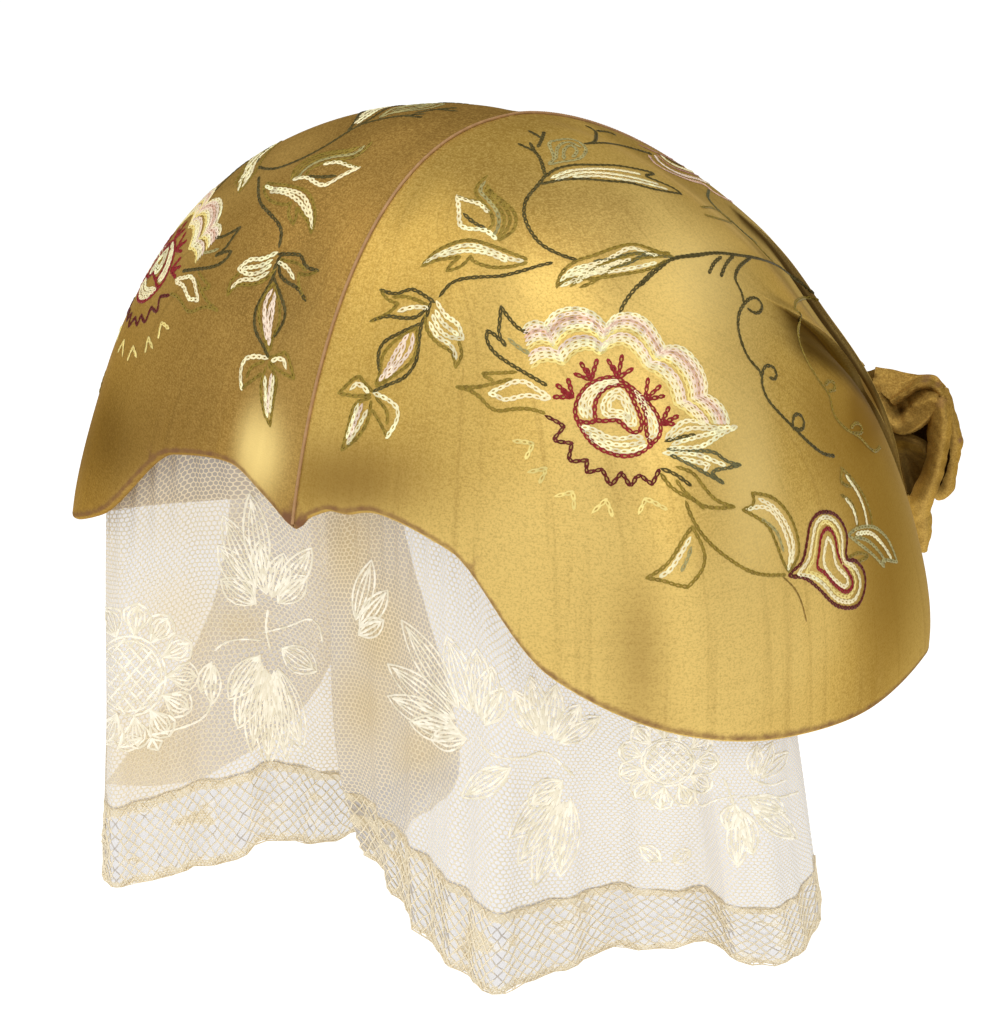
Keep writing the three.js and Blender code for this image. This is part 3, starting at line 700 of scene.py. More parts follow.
for side_name, side in (("left", 1), ("right", -1)):
    crown = crowns[side_name]
    place = points_of(crown)
    to_edge, _ = nearest_on(shell_form(side * np.linspace(0, 180, 361), 0), place)
    wear = 0.56 * (1 - soft_step(0.5, 1.1, to_edge)) + 0.10 * (1 - soft_step(0.8, 3.0, to_edge))
    turn = np.degrees(np.arctan2(np.abs(place[:, 0]), -(place[:, 1] - 30)))
    # painted shade: darker towards the nape
    crease = NAPE_PAINTED_SHADE * soft_step(84, 112, turn)
    lip_highlight = np.zeros(len(place))
    for pleat in PLEATS:
        ups = np.linspace(0, pleat["head"], 260)
        angle = side * pleat["fold"](ups)
        line = crown_surface(np.abs(angle), ups, side)
        ahead = unit(shell_form(angle - side, ups) - shell_form(angle, ups))
        gap, which = nearest_on(line, place)
        outward = shell_normal(angle, ups)
        before = ((place - line[which]) * ahead[which]).sum(1)
        above = ((place - line[which]) * outward[which]).sum(1)
        strength = soft_step(0, 0.25, fold_strength(pleat, ups))[which] * soft_step(15, 7, gap)
        # painted shade in the crease under the lip, fading away from it
        under = soft_step(pleat["lap"] + PAINTED_SHADE_REACH, pleat["lap"] + 1.0, before) ** 1.6
        under = under * soft_step(0.6, -0.2, above) * (before > -0.6)
        crease = np.maximum(crease, strength * under)
        high = soft_step(0.12, 0.30, ups)[which]
        lip = high * strength * soft_step(-0.2, 0.5, above)
        wear = np.maximum(wear, 0.62 * lip * bell(before - 0.8 * pleat["lap"], 0.7))
        lip_highlight = np.maximum(lip_highlight, lip * bell(before - 0.2 * pleat["lap"], 1.3))
        # a thin painted shadow line where the lip meets the cloth below
        shut = strength * bell(before - pleat["lap"] - 0.4, 0.6) * soft_step(0.9, 0.1, above)
        crease = np.maximum(crease, shut)
    wear = with_marks(place * [side, 1, 1], WEAR_SPOTS, wear)
    # painted light and shade on the satin: a painted highlight along the pleat lips, then the listed patches
    tone = LIP_PAINTED_HIGHLIGHT * lip_highlight
    for half, pixel, width, height, amount in SATIN_LIGHT_AND_SHADE_PATCHES:
        seen = place if half == "right" else place * [side, 1, 1]
        if half in ("both", side_name):
            tone = tone + amount * bell(beside_ray(seen, pixel, height / width), width)
    set_wear(crown, np.clip(wear, 0, 1))
    set_wear(crown, crease, "crease")
    set_wear(crown, np.clip(tone, -1, 1), "tone")
    dress(crown, CROWN_SATIN[side_name], f"crown_{side_name}")
print("satin laid on both halves")

# %% [markdown]
# ## Cord over the seam
# A fine cord of two plies hides the seam between the halves. It is a tube primitive grid whose section
# is two lobes that turn as they go, so the twist is real.

# %% Twisted cord
CORD_RADIUS = 0.30
CORD_LIFT = 0.18
CORD_TWISTS = 190
CORD_SIDES, CORD_STEPS = 8, 1200


def seam_line(along):
    """Place and outward way of the seam: along from -1 at the front peak over the top to 1 at the nape."""
    angle = np.where(along < 0, 0.0, 180.0)
    up = 1 - np.abs(along)
    normal = shell_normal(angle, np.minimum(up, 0.995))
    return shell_form(angle, up) + normal * pleat_rise(angle, up)[:, None], normal


def cord_form(across, along):
    place, normal = seam_line(along * 2 - 1)
    turn = across * 2 * math.pi
    twist = along * CORD_TWISTS * 2 * math.pi
    radius = CORD_RADIUS * (0.86 + 0.22 * np.abs(np.cos(turn - twist)))
    side = np.array([1.0, 0, 0])
    middle = place + normal * CORD_LIFT
    return middle + side * (radius * np.cos(turn))[:, None] + normal * (radius * np.sin(turn))[:, None]


cord = draped_grid("seam_cord", CORD_SIDES, CORD_STEPS, cord_form)
edit(cord, merge_points, close_open_edges, face_outwards)
smooth(cord, 60)
cord_material, n, shader = new_material("seam_cord")
place_node = n.add("ShaderNodeTexCoord")
ply_tone = n.noise(place_node.outputs["Object"], 700.0)
n.give(shader.inputs["Base Color"], n.mix(ply_tone, rgb(140, 100, 56), rgb(190, 148, 100)))
shader.inputs["Roughness"].default_value = 0.65
dress(cord, cord_material, "seam_piping")
print("cord", triangle_count(cord), "triangles")

# %% [markdown]
# ## Bow at the nape
# The bow is one strap of the same silk, folded into loops and stitched down. Each fold is a small net of
# points: a pixel of the photograph and how far back it lies. A smooth sheet runs through them and gets the
# thickness of the doubled silk. The right half is the left one, mirrored.

# %% Folds of the bow: photograph x, photograph y, depth along Y in millimetres
BOW_SHEETS = [
    {"name": "top_fold", "node": "bow_roll", "rows": [
        [(874.9, 367.7, 117.5), (894.5, 370.8, 120), (915.3, 374.3, 122.5),
         (936, 376.9, 124.5), (945.2, 387.2, 125)],
        [(874, 374.3, 116.5), (891.9, 381.5, 118.5), (908.1, 381.5, 121),
         (927.3, 378.9, 123), (943, 387.2, 124.5)],
        [(872.7, 381.9, 115.8), (890.2, 400.3, 117), (903.3, 392.4, 118.5),
         (916.8, 383.9, 120.5), (938.6, 386.3, 122.5)],
    ]},
    {"name": "rim_fold", "node": "bow_roll", "rows": [
        [(889.3, 399.4, 117.6), (903.3, 391.1, 119), (915.9, 383, 120.5), (928.4, 380.6, 121.5),
         (939.3, 385.9, 122), (946, 395.5, 122.5)],
        [(890.6, 402, 116.4), (904.2, 394.2, 117.4), (916.4, 386.3, 118.6), (927.3, 384.5, 119.6),
         (937.3, 389.8, 120.4), (943.4, 399.4, 121)],
        [(894.5, 403.8, 117.4), (905.5, 396.8, 118.6), (916.8, 389.3, 119.8), (926.4, 387.6, 120.6),
         (935.1, 392.8, 121), (940.8, 401.1, 121.4)],
    ]},
    {"name": "tongue", "node": "bow_loop", "rows": [
        [(876, 374.7, 117), (883.6, 387.8, 118), (892.4, 399.4, 119.5), (905.5, 395.5, 120.5),
         (916.8, 388.5, 121), (928.2, 387.2, 121), (937.8, 395, 120.5)],
        [(876.7, 384.5, 115.8), (883.6, 402, 116.2), (897.2, 411.2, 118.6), (909, 410.3, 118.4),
         (920.3, 404.2, 118.6), (931.2, 399, 119), (939.1, 399.4, 119.4)],
        [(878.8, 393.3, 115.4), (884.5, 412, 115.4), (894.1, 426, 115.8), (906.8, 428.6, 116.4),
         (919.9, 422.5, 117.2), (932.1, 411.2, 118.2), (939.9, 403.8, 119)],
        [(881.5, 402, 116.4), (886.3, 417.7, 116.6), (895, 431.2, 117), (906.3, 433, 117.6),
         (920.7, 426.4, 118.4), (934.3, 414.2, 119.2), (940.8, 406.4, 119.8)],
    ]},
    {"name": "strap_front", "node": "bow_loop", "rows": [
        [(932.5, 400.3, 121), (937.8, 398.1, 119.6), (943.4, 398.5, 119.6), (948.2, 403.8, 121)],
        [(930.3, 417.3, 119.8), (936.4, 416, 117.6), (944.3, 416.8, 117.6), (950, 419.9, 120.2)],
        [(929, 434.7, 119.6), (935.6, 434.3, 117.2), (943.4, 435.2, 117.2), (949.1, 437.4, 120)],
        [(928.6, 454.4, 119.4), (933.8, 454.8, 117), (940.4, 455.5, 117), (945.6, 456.1, 119.8)],
        [(923.4, 471.8, 119), (929, 474, 116.8), (936, 475.8, 116.8), (941.2, 475.8, 119.4)],
        [(913.8, 491, 118.6), (920.7, 494.1, 116.4), (928.4, 495.8, 116.4), (934.3, 494.1, 119)],
        [(908.5, 505.9, 118.4), (915.3, 510.2, 116.6), (922.9, 512.8, 116.6), (929.9, 507.2, 118.8)],
        [(912, 522, 118.8), (918.6, 526.4, 117.6), (924.2, 526.4, 117.6), (928.2, 522, 119)],
    ]},
    {"name": "strap_back", "node": "bow_loop", "rows": [
        [(942.6, 387.2, 122.6), (946, 388.5, 123.4), (948.7, 393.3, 124.2)],
        [(947.8, 412.9, 121.8), (952.2, 413.8, 122.6), (955.2, 416.8, 124)],
        [(949.1, 436, 121.4), (955.6, 436.5, 122), (961.3, 439.8, 124)],
        [(950.4, 452.2, 121.6), (954.8, 453.3, 122.2), (959.6, 451.3, 124)],
        [(947.4, 469.6, 121.4), (951.7, 471, 121.8), (955.6, 469.6, 123.6)],
        [(940.8, 485.4, 120.8), (946.9, 490.2, 121.2), (952.8, 488.8, 122.8)],
        [(932.5, 493.2, 119.4), (936, 498.9, 119.8), (943.4, 498, 121.4)],
    ]},
    {"name": "lining_fold", "node": "bow_loop", "rows": [
        [(889.7, 430.8, 117.2), (905.5, 434.3, 118), (919, 438.2, 119), (931.2, 445.6, 120.4)],
        [(891.9, 437.4, 116.4), (906.8, 440.4, 117.2), (919.4, 445.6, 118.4), (929.5, 455.2, 120)],
        [(897.2, 452.2, 119.8), (907.6, 454.8, 121.2), (919, 459.2, 121.6), (929, 466.2, 121.4)],
        [(902, 471.8, 119.8), (909.8, 475.8, 121), (916.8, 480.6, 121.2), (923.8, 487.5, 120.8)],
        [(905.5, 491.9, 118.4), (909.8, 496.3, 119.4), (913.8, 502.8, 119.6), (917.2, 509.8, 119.2)],
    ]},
    {"name": "inner_lining", "node": "bow_loop", "rows": [
        [(893, 414, 121), (912, 424, 122.5), (930, 420, 123.5), (950, 425, 123.5)],
        [(896, 440, 121.5), (914, 444, 123.5), (932, 446, 124), (952, 446, 124)],
        [(903, 470, 121.5), (918, 474, 123.5), (934, 478, 124), (948, 476, 123.5)],
        [(908, 500, 120), (920, 504, 121.5), (930, 500, 122), (940, 492, 122)],
    ]},
    {"name": "tail_fold", "node": "bow_tail", "rows": [
        [(905, 494, 119), (914, 497, 117.6), (921, 499, 117.8), (928, 504, 119.6)],
        [(908, 512, 118.6), (917, 516, 117), (924, 518, 117.2), (930.5, 521, 119.2)],
        [(914, 532, 118.4), (920, 534, 117.2), (925, 535, 117.2), (929.5, 535, 118.8)],
        [(919, 549, 118.4), (921.5, 551, 117.6), (923, 552, 117.6), (925, 551, 118.4)],
    ]},
]
BOW_THICKNESS = 0.8
BOW_STEPS = 9  # grid steps between two charted points
LEAST_SIDE = 0.0101  # the shortest side that a sheet may state, in metres


def smooth_through(rows, place):
    """Catmull-Rom value of a list of rows at places counted in rows."""
    last = len(rows) - 1
    i = np.clip(np.floor(place).astype(int), 0, last - 1)
    s = (place - i).reshape(-1, *([1] * (rows.ndim - 1)))
    v0, v1, v2, v3 = (rows[np.clip(i + k, 0, last)] for k in (-1, 0, 1, 2))
    return through_four(v0, v1, v2, v3, s)


def fold_form(rows, side, ripple=1.0):
    """Lays a grid through charted points. ripple scales the fine creases."""
    rows = np.array(rows, float)
    placed = np.array([[at_depth(*point) for point in row] for row in rows])

    def form(across, along):
        out = np.zeros((len(across), 3))
        for share in np.unique(along):
            here = along == share
            row = smooth_through(placed, np.array([(1 - share) * (len(placed) - 1)]))[0]
            out[here] = smooth_through(row, across[here] * (len(row) - 1))
        crease = 0.12 * np.sin(out[:, 2] * 1.9 + 2.2 * np.sin(out[:, 0] * 0.7))
        crease = crease + 0.05 * np.sin(out[:, 2] * 4.3 + out[:, 0])
        out[:, 1] -= crease * ripple
        out[:, 0] *= side
        return out

    return form


def cloth_size(piece, columns, rows):
    """Width and length of a draped grid along its middle lines, in metres, and a centimetre at least."""
    place = points_of(piece).reshape(rows + 1, columns + 1, 3)
    width = np.linalg.norm(np.diff(place[rows // 2], axis=0), axis=1).sum() * MM
    length = np.linalg.norm(np.diff(place[:, columns // 2], axis=0), axis=1).sum() * MM
    return max(float(width), LEAST_SIDE), max(float(length), LEAST_SIDE)


bow_satin = satin_material("gold_satin_bow", rgb(166, 130, 62), rgb(202, 166, 88), rgb(94, 66, 28),
                           rgb(142, 100, 84), 0.3)
SHADED = {"lining_fold": 0.80, "inner_lining": 1.0}  # folds inside the loop, darkened with painted shade
BOW_WEAR = [
    # pixel, radius in mm, amount
    ((941, 402), 2.4, 0.58), ((960, 440), 1.2, 0.7), ((926, 378), 2.2, 0.6), ((938, 384), 1.6, 0.6),
]
BOW_SHADE = [
    # pixel, radius in mm, amount
    ((901, 410), 1.0, 1.0), ((931, 388), 0.8, 0.75), ((907, 397), 0.7, 0.45),
    ((917, 391), 0.7, 0.45), ((905, 446), 2.4, 0.95), ((916, 462), 2.4, 0.75),
    ((947, 448), 1.2, 0.4), ((946, 466), 1.2, 0.45), ((941, 484), 1.2, 0.5), ((874, 376), 0.8, 0.7),
    ((880, 395), 1.2, 0.4),
]
for side_name, side in (("left", 1), ("right", -1)):
    for fold in BOW_SHEETS:
        rows = fold["rows"]
        grid = ((len(rows[0]) - 1) * BOW_STEPS, (len(rows) - 1) * BOW_STEPS)
        piece = draped_grid(f"bow_{fold['name']}_{side_name}", *grid, fold_form(rows, side))
        size = cloth_size(piece, *grid)
        thick = piece.modifiers.new("silk", "SOLIDIFY")
        thick.thickness = BOW_THICKNESS * MM
        thick.offset = 0
        round_off = piece.modifiers.new("rounding", "BEVEL")
        round_off.width = 0.25 * MM
        round_off.segments = 2
        round_off.limit_method = "ANGLE"
        apply_modifiers(piece)
        edit(piece, face_outwards)
        smooth(piece, 70)
        place = points_of(piece) * [side, 1, 1]
        set_wear(piece, with_marks(place, BOW_WEAR, np.zeros(len(place))))
        shade = np.full(len(place), SHADED.get(fold["name"], 0.0))
        set_wear(piece, with_marks(place, BOW_SHADE, shade), "crease")
        dress(piece, bow_satin, f"{fold['node']}_{side_name}")


def knot_form(across, along):
    """The band round the middle: a soft upright pad, gathered into creases."""
    turn = across * 2 * math.pi
    full = np.sin(math.pi * (0.06 + 0.88 * along)) ** 0.4
    crease = 1 + 0.05 * np.sin(turn * 9 + along * 5)
    sine, cosine = np.sin(turn), np.cos(turn)
    x = BOW_KNOT["half_width"] * full * crease * np.sign(cosine) * np.abs(cosine) ** 0.7
    y = BOW_KNOT["y"] + BOW_KNOT["depth"] / 2 * full * crease * np.sign(sine) * np.abs(sine) ** 0.7
    z = BOW_KNOT["bottom"] + (BOW_KNOT["top"] - BOW_KNOT["bottom"]) * along
    return np.stack([x, y, z], 1)


BOW_KNOT = {"half_width": 3.0, "y": 118.2, "depth": 14.6, "top": 13.5, "bottom": -10.5}
KNOT_GRID = (64, 28)
knot = draped_grid("bow_knot_band", *KNOT_GRID, knot_form)
edit(knot, merge_points, close_open_edges, face_outwards)
smooth(knot, 60)
set_wear(knot, np.zeros(len(knot.data.vertices)))
dress(knot, bow_satin, "bow_knot")
print("bow made")

# %% [markdown]
# ## Chain stitch
# The ornament is worked in chain stitch with silk of a dozen colours: a large flower with scalloped petals,
# buds, leaves, stems with tendrils, and a heart. The strokes are charted on the photograph's left half.
# Each stroke is laid on the cloth along the camera's rays. The right half is worked from the chart mirrored.

# %% Threads
THREADS = {
    # colour, stitch length, stitch width
    "olive": (rgb(82, 72, 32), 1.30, 0.86),
    "slate": (rgb(98, 94, 58), 1.30, 0.84),
    "sage": (rgb(164, 154, 100), 1.30, 0.84),
    "khaki": (rgb(140, 118, 42), 1.30, 0.84),
    "cream": (rgb(244, 230, 184), 1.40, 1.02),
    "yellow": (rgb(236, 214, 132), 1.40, 0.92),
    "pink": (rgb(238, 214, 190), 1.40, 1.00),
    "rosewood": (rgb(176, 128, 108), 1.30, 0.70),
    "dusty": (rgb(216, 178, 154), 1.40, 0.92),
    "crimson": (rgb(140, 34, 36), 1.20, 0.98),
    "russet": (rgb(96, 32, 26), 1.30, 0.92),
    "faded": (rgb(150, 118, 52), 1.60, 0.45),
}

# %% Chart of the left half, in pixels of the photograph: thread, kind of line, strokes
STROKES = [
    # near flower
    ("crimson", "smooth", [(573, 397), (554, 397)], [(573, 397), (557, 385)], [(573, 397), (568, 379)],
     [(573, 397), (562, 391)], [(591, 380), (575, 374)], [(591, 380), (581, 363)], [(591, 380), (597, 360)],
     [(591, 380), (587, 369)], [(618, 378), (608, 360)], [(618, 378), (622, 356)], [(618, 378), (632, 369)],
     [(618, 378), (613, 366)], [(645, 400), (648, 379)], [(645, 400), (660, 386)], [(645, 400), (664, 396)],
     [(661, 424), (669, 407)], [(661, 424), (678, 416)], [(661, 424), (674, 424)]),
    ("crimson", "closed", [(575, 408), (583, 390), (595, 381), (613, 377), (628, 385), (642, 397),
      (654, 410), (660, 422), (660, 435), (653, 443), (642, 452), (630, 456), (616, 455), (599, 448),
      (587, 437), (578, 422)], [(596, 420), (595, 404), (602, 391), (616, 385), (627, 388), (634, 402),
      (641, 418), (641, 430), (633, 433), (625, 427), (618, 420), (605, 421)]),
    ("crimson", "smooth", [(577, 421), (591, 423), (595, 421)],
     [(630, 389), (641, 402), (646, 416), (646, 431), (651, 444)]),
    ("cream", "smooth", [(583, 416), (580, 404), (587, 391), (601, 383), (618, 381)],
     [(587, 417), (584, 404), (591, 392), (603, 385), (616, 383)],
     [(591, 416), (589, 404), (596, 393), (605, 387)],
     [(634, 390), (644, 401), (653, 416), (657, 429), (654, 437), (648, 438)],
     [(637, 396), (644, 408), (650, 422), (651, 433)],
     [(581, 427), (593, 429), (605, 436), (620, 439), (636, 436), (642, 438)],
     [(584, 431), (597, 437), (611, 444), (628, 445), (644, 442)],
     [(589, 437), (601, 445), (616, 451), (632, 451), (645, 446)]),
    ("cream", "closed", [(603, 412), (603, 402), (611, 393), (621, 390), (627, 399), (633, 412), (635, 424),
      (629, 426), (623, 416), (613, 417), (606, 416)],
     [(609, 410), (610, 401), (619, 395), (624, 404), (630, 418), (628, 420), (623, 411), (613, 412)]),
    ("russet", "sharp", [(546, 416), (565, 426), (552, 441), (572, 443), (568, 462), (588, 460), (585, 473),
      (603, 469), (610, 487), (622, 472), (631, 488), (638, 473), (652, 485), (659, 470)]),
    ("yellow", "sharp", [(514, 441), (534, 443), (526, 458)], [(529, 472), (548, 468), (540, 482)],
     [(556, 496), (574, 492), (574, 508)], [(593, 512), (607, 499), (612, 515)],
     [(639, 513), (646, 498), (666, 509)]),
    ("olive", "smooth", [(528, 333), (518, 328), (509, 318), (501, 307)],
     [(501, 307), (500, 320), (499, 334), (505, 345)], [(501, 341), (494, 334), (487, 331)],
     [(487, 331), (487, 341), (494, 352), (507, 362), (522, 371), (534, 378), (546, 385)]),
    ("sage", "smooth", [(509, 339), (518, 347), (528, 353)]),
    ("khaki", "smooth", [(516, 372), (499, 373), (482, 374), (492, 380)],
     [(511, 379), (495, 383), (477, 387), (457, 387)],
     [(457, 387), (471, 391), (481, 398), (489, 407), (499, 411), (513, 409), (530, 409), (544, 413)]),
    ("cream", "closed", [(490, 393), (503, 387), (513, 382), (526, 382), (536, 389), (551, 398), (540, 398),
      (530, 395), (518, 397), (505, 400), (497, 396)]),
    ("cream", "smooth", [(666, 438), (675, 428), (685, 421), (699, 422), (716, 428), (736, 427)],
     [(736, 427), (720, 435), (705, 445), (691, 448), (671, 448)],
     [(671, 439), (683, 430), (697, 428), (720, 430)], [(673, 444), (689, 439), (705, 435), (722, 431)]),
    ("olive", "smooth", [(666, 441), (677, 438), (694, 435)]),
    ("slate", "smooth", [(668, 449), (685, 451), (705, 451), (716, 453), (726, 461), (740, 465)],
     [(740, 465), (728, 468), (711, 472), (723, 483)], [(723, 483), (705, 473), (689, 464), (671, 455)]),
    ("cream", "smooth", [(664, 453), (681, 453), (699, 455), (709, 459), (724, 465)],
     [(681, 458), (697, 462), (709, 465), (705, 470)]),
    ("olive", "smooth", [(662, 469), (675, 474), (690, 485)]),
    ("khaki", "smooth", [(661, 474), (671, 487), (683, 495), (695, 500), (703, 508)],
     [(677, 467), (693, 473), (703, 486), (716, 500), (734, 507)],
     [(734, 507), (718, 508), (701, 505), (685, 492), (677, 481)]),
    ("olive", "smooth", [(620, 312), (625, 302), (634, 290), (646, 278), (660, 265), (677, 258), (695, 256),
      (716, 253), (736, 255), (760, 259)],
     [(440, 296), (450, 284), (462, 279), (481, 277), (501, 276), (522, 271), (538, 266), (551, 263)]),
    ("khaki", "smooth", [(581, 287), (595, 281), (616, 267), (636, 259), (669, 256)],
     [(571, 286), (583, 277), (597, 267), (616, 259), (640, 253), (669, 253)]),
    ("cream", "smooth", [(575, 283), (591, 274), (609, 267), (630, 260)],
     [(562, 286), (579, 278), (595, 271), (616, 263)]),
    # top
    ("olive", "smooth", [(577, 260), (561, 255), (542, 245), (531, 232), (525, 219), (524, 209), (527, 198),
      (538, 185), (545, 176)], [(545, 177), (556, 169), (574, 165), (595, 165), (620, 166), (653, 173),
      (645, 176), (657, 181), (673, 188), (681, 194)],
     [(542, 184), (561, 180), (584, 179), (607, 181), (630, 183), (653, 189), (681, 194)]),
    ("cream", "smooth", [(552, 178), (570, 171), (593, 169), (616, 170), (639, 174)],
     [(556, 180), (579, 173), (602, 173), (630, 177), (657, 184)],
     [(574, 177), (597, 176), (620, 179), (643, 183), (666, 189)]),
    ("olive", "smooth", [(545, 175), (541, 161), (535, 152), (525, 147), (519, 144)],
     [(530, 143), (535, 152)], [(538, 147), (542, 139), (544, 132)], [(529, 131), (538, 136), (541, 138)]),
    ("sage", "closed", [(549, 144), (554, 159), (547, 165), (561, 162), (579, 159), (586, 150), (579, 142),
      (568, 139), (554, 141)]),
    ("sage", "smooth", [(564, 159), (564, 150), (571, 145), (577, 151), (573, 157)],
     [(556, 159), (558, 147), (568, 142), (580, 147)]),
    ("olive", "smooth", [(586, 126), (595, 131), (596, 137), (594, 142), (585, 144)],
     [(597, 131), (607, 132), (615, 135)], [(585, 144), (602, 143), (618, 145), (634, 149), (651, 154)]),
    ("rosewood", "smooth", [(639, 145), (657, 153), (671, 159), (686, 164), (700, 171), (714, 178),
      (729, 188), (743, 198), (757, 211), (770, 225)]),
    ("dusty", "smooth", [(649, 156), (654, 163), (663, 169), (674, 174), (689, 180), (703, 184), (713, 192),
      (726, 199), (737, 205), (750, 214)]),
    ("pink", "smooth",
     [(655, 156), (660, 163), (669, 169), (682, 175), (697, 179), (711, 185), (724, 194), (738, 202)]),
    ("rosewood", "smooth",
     [(657, 155), (663, 161), (672, 167), (686, 172), (700, 177), (713, 183), (727, 192), (741, 201)]),
    ("cream", "smooth",
     [(661, 156), (668, 162), (678, 167), (692, 172), (706, 178), (720, 186), (733, 194)]),
    ("rosewood", "smooth",
     [(663, 155), (671, 160), (682, 166), (697, 172), (711, 179), (725, 187), (738, 196)]),
    ("olive", "smooth", [(666, 158), (673, 162), (681, 166)]),
    ("khaki", "smooth",
     [(487, 176), (477, 186), (476, 194), (485, 205), (492, 215), (493, 225), (488, 230)]),
    ("sage", "smooth", [(485, 182), (480, 191), (490, 202), (498, 214), (499, 225), (494, 235)]),
    ("khaki", "smooth", [(487, 186), (486, 193), (494, 202), (503, 214), (504, 225), (498, 237)],
     [(488, 191), (499, 201), (508, 212), (510, 223), (502, 237)],
     [(487, 185), (492, 193), (503, 201), (514, 212), (516, 222), (512, 232), (499, 240)]),
    ("cream", "smooth", [(457, 196), (459, 209), (460, 225), (469, 229), (485, 230), (496, 239)],
     [(457, 197), (469, 201), (480, 204), (488, 212)]),
    ("khaki", "smooth", [(457, 196), (465, 199), (476, 201)]),
    ("olive", "smooth", [(464, 214), (473, 222), (484, 228)]),
    ("khaki", "smooth",
     [(422, 266), (434, 253), (451, 244), (469, 240), (487, 244), (506, 251), (526, 259)],
     [(422, 266), (437, 260), (460, 257)], [(460, 257), (451, 264), (447, 271)],
     [(447, 271), (462, 266), (471, 256), (473, 261), (490, 267), (508, 267), (526, 263)]),
    ("cream", "smooth", [(425, 263), (446, 251), (469, 245), (492, 251), (510, 259), (522, 261)],
     [(441, 256), (464, 251), (487, 253), (506, 261)]),
    ("khaki", "smooth",
     [(557, 287), (561, 274), (574, 262), (595, 255), (614, 248), (632, 244), (648, 248), (673, 257)],
     [(557, 286), (570, 279), (588, 279), (607, 277), (625, 274), (643, 271), (657, 266), (666, 261)]),
    ("cream", "smooth",
     [(561, 281), (574, 269), (595, 264), (611, 258), (630, 248), (646, 253), (657, 256)],
     [(572, 274), (595, 273), (616, 271), (639, 267), (655, 263)],
     [(568, 277), (588, 269), (607, 267), (620, 261)]),
    ("slate", "smooth", [(595, 261), (611, 259), (630, 254), (646, 253)],
     [(600, 267), (618, 266), (632, 262), (643, 256), (673, 257)],
     [(709, 190), (708, 198), (717, 209), (731, 221), (744, 233), (756, 243)]),
    ("khaki", "smooth", [(701, 207), (715, 209), (731, 222)], [(705, 215), (719, 219), (731, 223)]),
    # left buds
    ("olive", "smooth", [(434, 302), (422, 294), (411, 289), (396, 294), (381, 290)]),
    ("khaki", "smooth", [(381, 290), (387, 299), (398, 304)], [(398, 304), (387, 314), (371, 321)]),
    ("olive", "smooth", [(371, 321), (387, 316), (402, 318), (417, 317), (428, 307)]),
    ("cream", "smooth", [(399, 311), (414, 307), (428, 308)]),
    ("khaki", "smooth", [(393, 297), (408, 297), (428, 305)]),
    ("cream", "smooth", [(437, 302), (446, 316), (458, 324), (463, 339)],
     [(463, 339), (449, 337), (439, 329), (433, 316)]),
    ("khaki", "smooth", [(425, 316), (428, 332), (440, 345), (452, 352), (456, 367)],
     [(456, 367), (462, 355), (459, 342)]),
    ("cream", "smooth", [(430, 323), (437, 336), (452, 346), (456, 358)],
     [(436, 311), (443, 323), (458, 335)]),
    ("olive", "smooth", [(424, 317), (420, 332), (418, 352), (415, 364), (405, 377), (390, 384)],
     [(422, 323), (402, 332), (383, 343), (378, 358), (380, 371)]),
    ("khaki", "smooth", [(417, 327), (396, 340), (383, 355), (380, 373), (376, 384)],
     [(417, 329), (417, 346), (411, 362), (393, 376), (377, 386)]),
    ("pink", "smooth", [(408, 335), (396, 352), (387, 370), (380, 380)],
     [(405, 343), (399, 358), (387, 373)], [(413, 335), (411, 349), (399, 365), (387, 377)]),
    ("olive", "smooth", [(390, 384), (381, 388), (373, 392)], [(431, 302), (427, 316)]),
    ("khaki", "smooth", [(373, 392), (364, 382), (358, 376), (349, 383), (339, 393)],
     [(339, 393), (355, 396), (370, 395)]),
    ("cream", "smooth", [(351, 389), (359, 383), (368, 392)],
     [(374, 393), (387, 399), (398, 409), (396, 423), (387, 437)]),
    ("khaki", "smooth", [(387, 437), (383, 428), (373, 411)], [(376, 398), (387, 411), (387, 423)],
     [(370, 398), (355, 404), (349, 423), (342, 450)], [(342, 450), (358, 437), (368, 420), (371, 402)]),
    ("pink", "smooth", [(362, 405), (355, 423), (349, 440)]),
    ("cream", "smooth", [(367, 411), (358, 428), (348, 443)], [(358, 405), (353, 420), (347, 437)]),
    # nape
    ("olive", "smooth", [(640, 286), (655, 272), (672, 259), (693, 255), (718, 253), (737, 255), (756, 258),
      (776, 265), (790, 275), (805, 286), (819, 298), (829, 310), (839, 322), (848, 337)],
     [(721, 257), (714, 263), (709, 273)], [(733, 256), (726, 264), (721, 276)],
     [(750, 258), (739, 267), (735, 279), (741, 291), (744, 304)],
     [(744, 304), (749, 299), (756, 298), (762, 304), (760, 312), (754, 313), (748, 309)],
     [(744, 304), (739, 313), (738, 327), (742, 344), (749, 359), (761, 373), (762, 385), (768, 400),
      (781, 415), (795, 429), (807, 441), (822, 453), (834, 456)],
     [(762, 376), (764, 367), (772, 366), (776, 372), (776, 379), (770, 378)],
     [(793, 429), (793, 417), (799, 414), (804, 421), (802, 430), (795, 428)]),
    ("khaki", "smooth", [(795, 310), (796, 302), (805, 298), (817, 299), (832, 313)],
     [(795, 310), (801, 315), (798, 330), (800, 344), (807, 361), (819, 381), (829, 395), (834, 415),
      (846, 429), (858, 436), (873, 451), (880, 447)],
     [(825, 385), (829, 381), (835, 384), (834, 390), (829, 391)],
     [(851, 428), (856, 423), (862, 427), (861, 433), (855, 433)],
     [(686, 502), (691, 516), (701, 533), (715, 548), (732, 561), (749, 571), (766, 575), (785, 575)],
     [(743, 510), (754, 504), (752, 493)],
     [(752, 493), (771, 497), (785, 509), (795, 528), (799, 553), (789, 572)],
     [(789, 572), (783, 562), (776, 543), (766, 524), (743, 510)]),
    ("cream", "smooth", [(747, 509), (764, 507), (776, 516), (785, 533), (790, 553), (788, 570)],
     [(759, 499), (773, 507), (785, 522), (793, 543), (792, 562)]),
    ("sage", "smooth", [(761, 519), (776, 531), (783, 550)]),
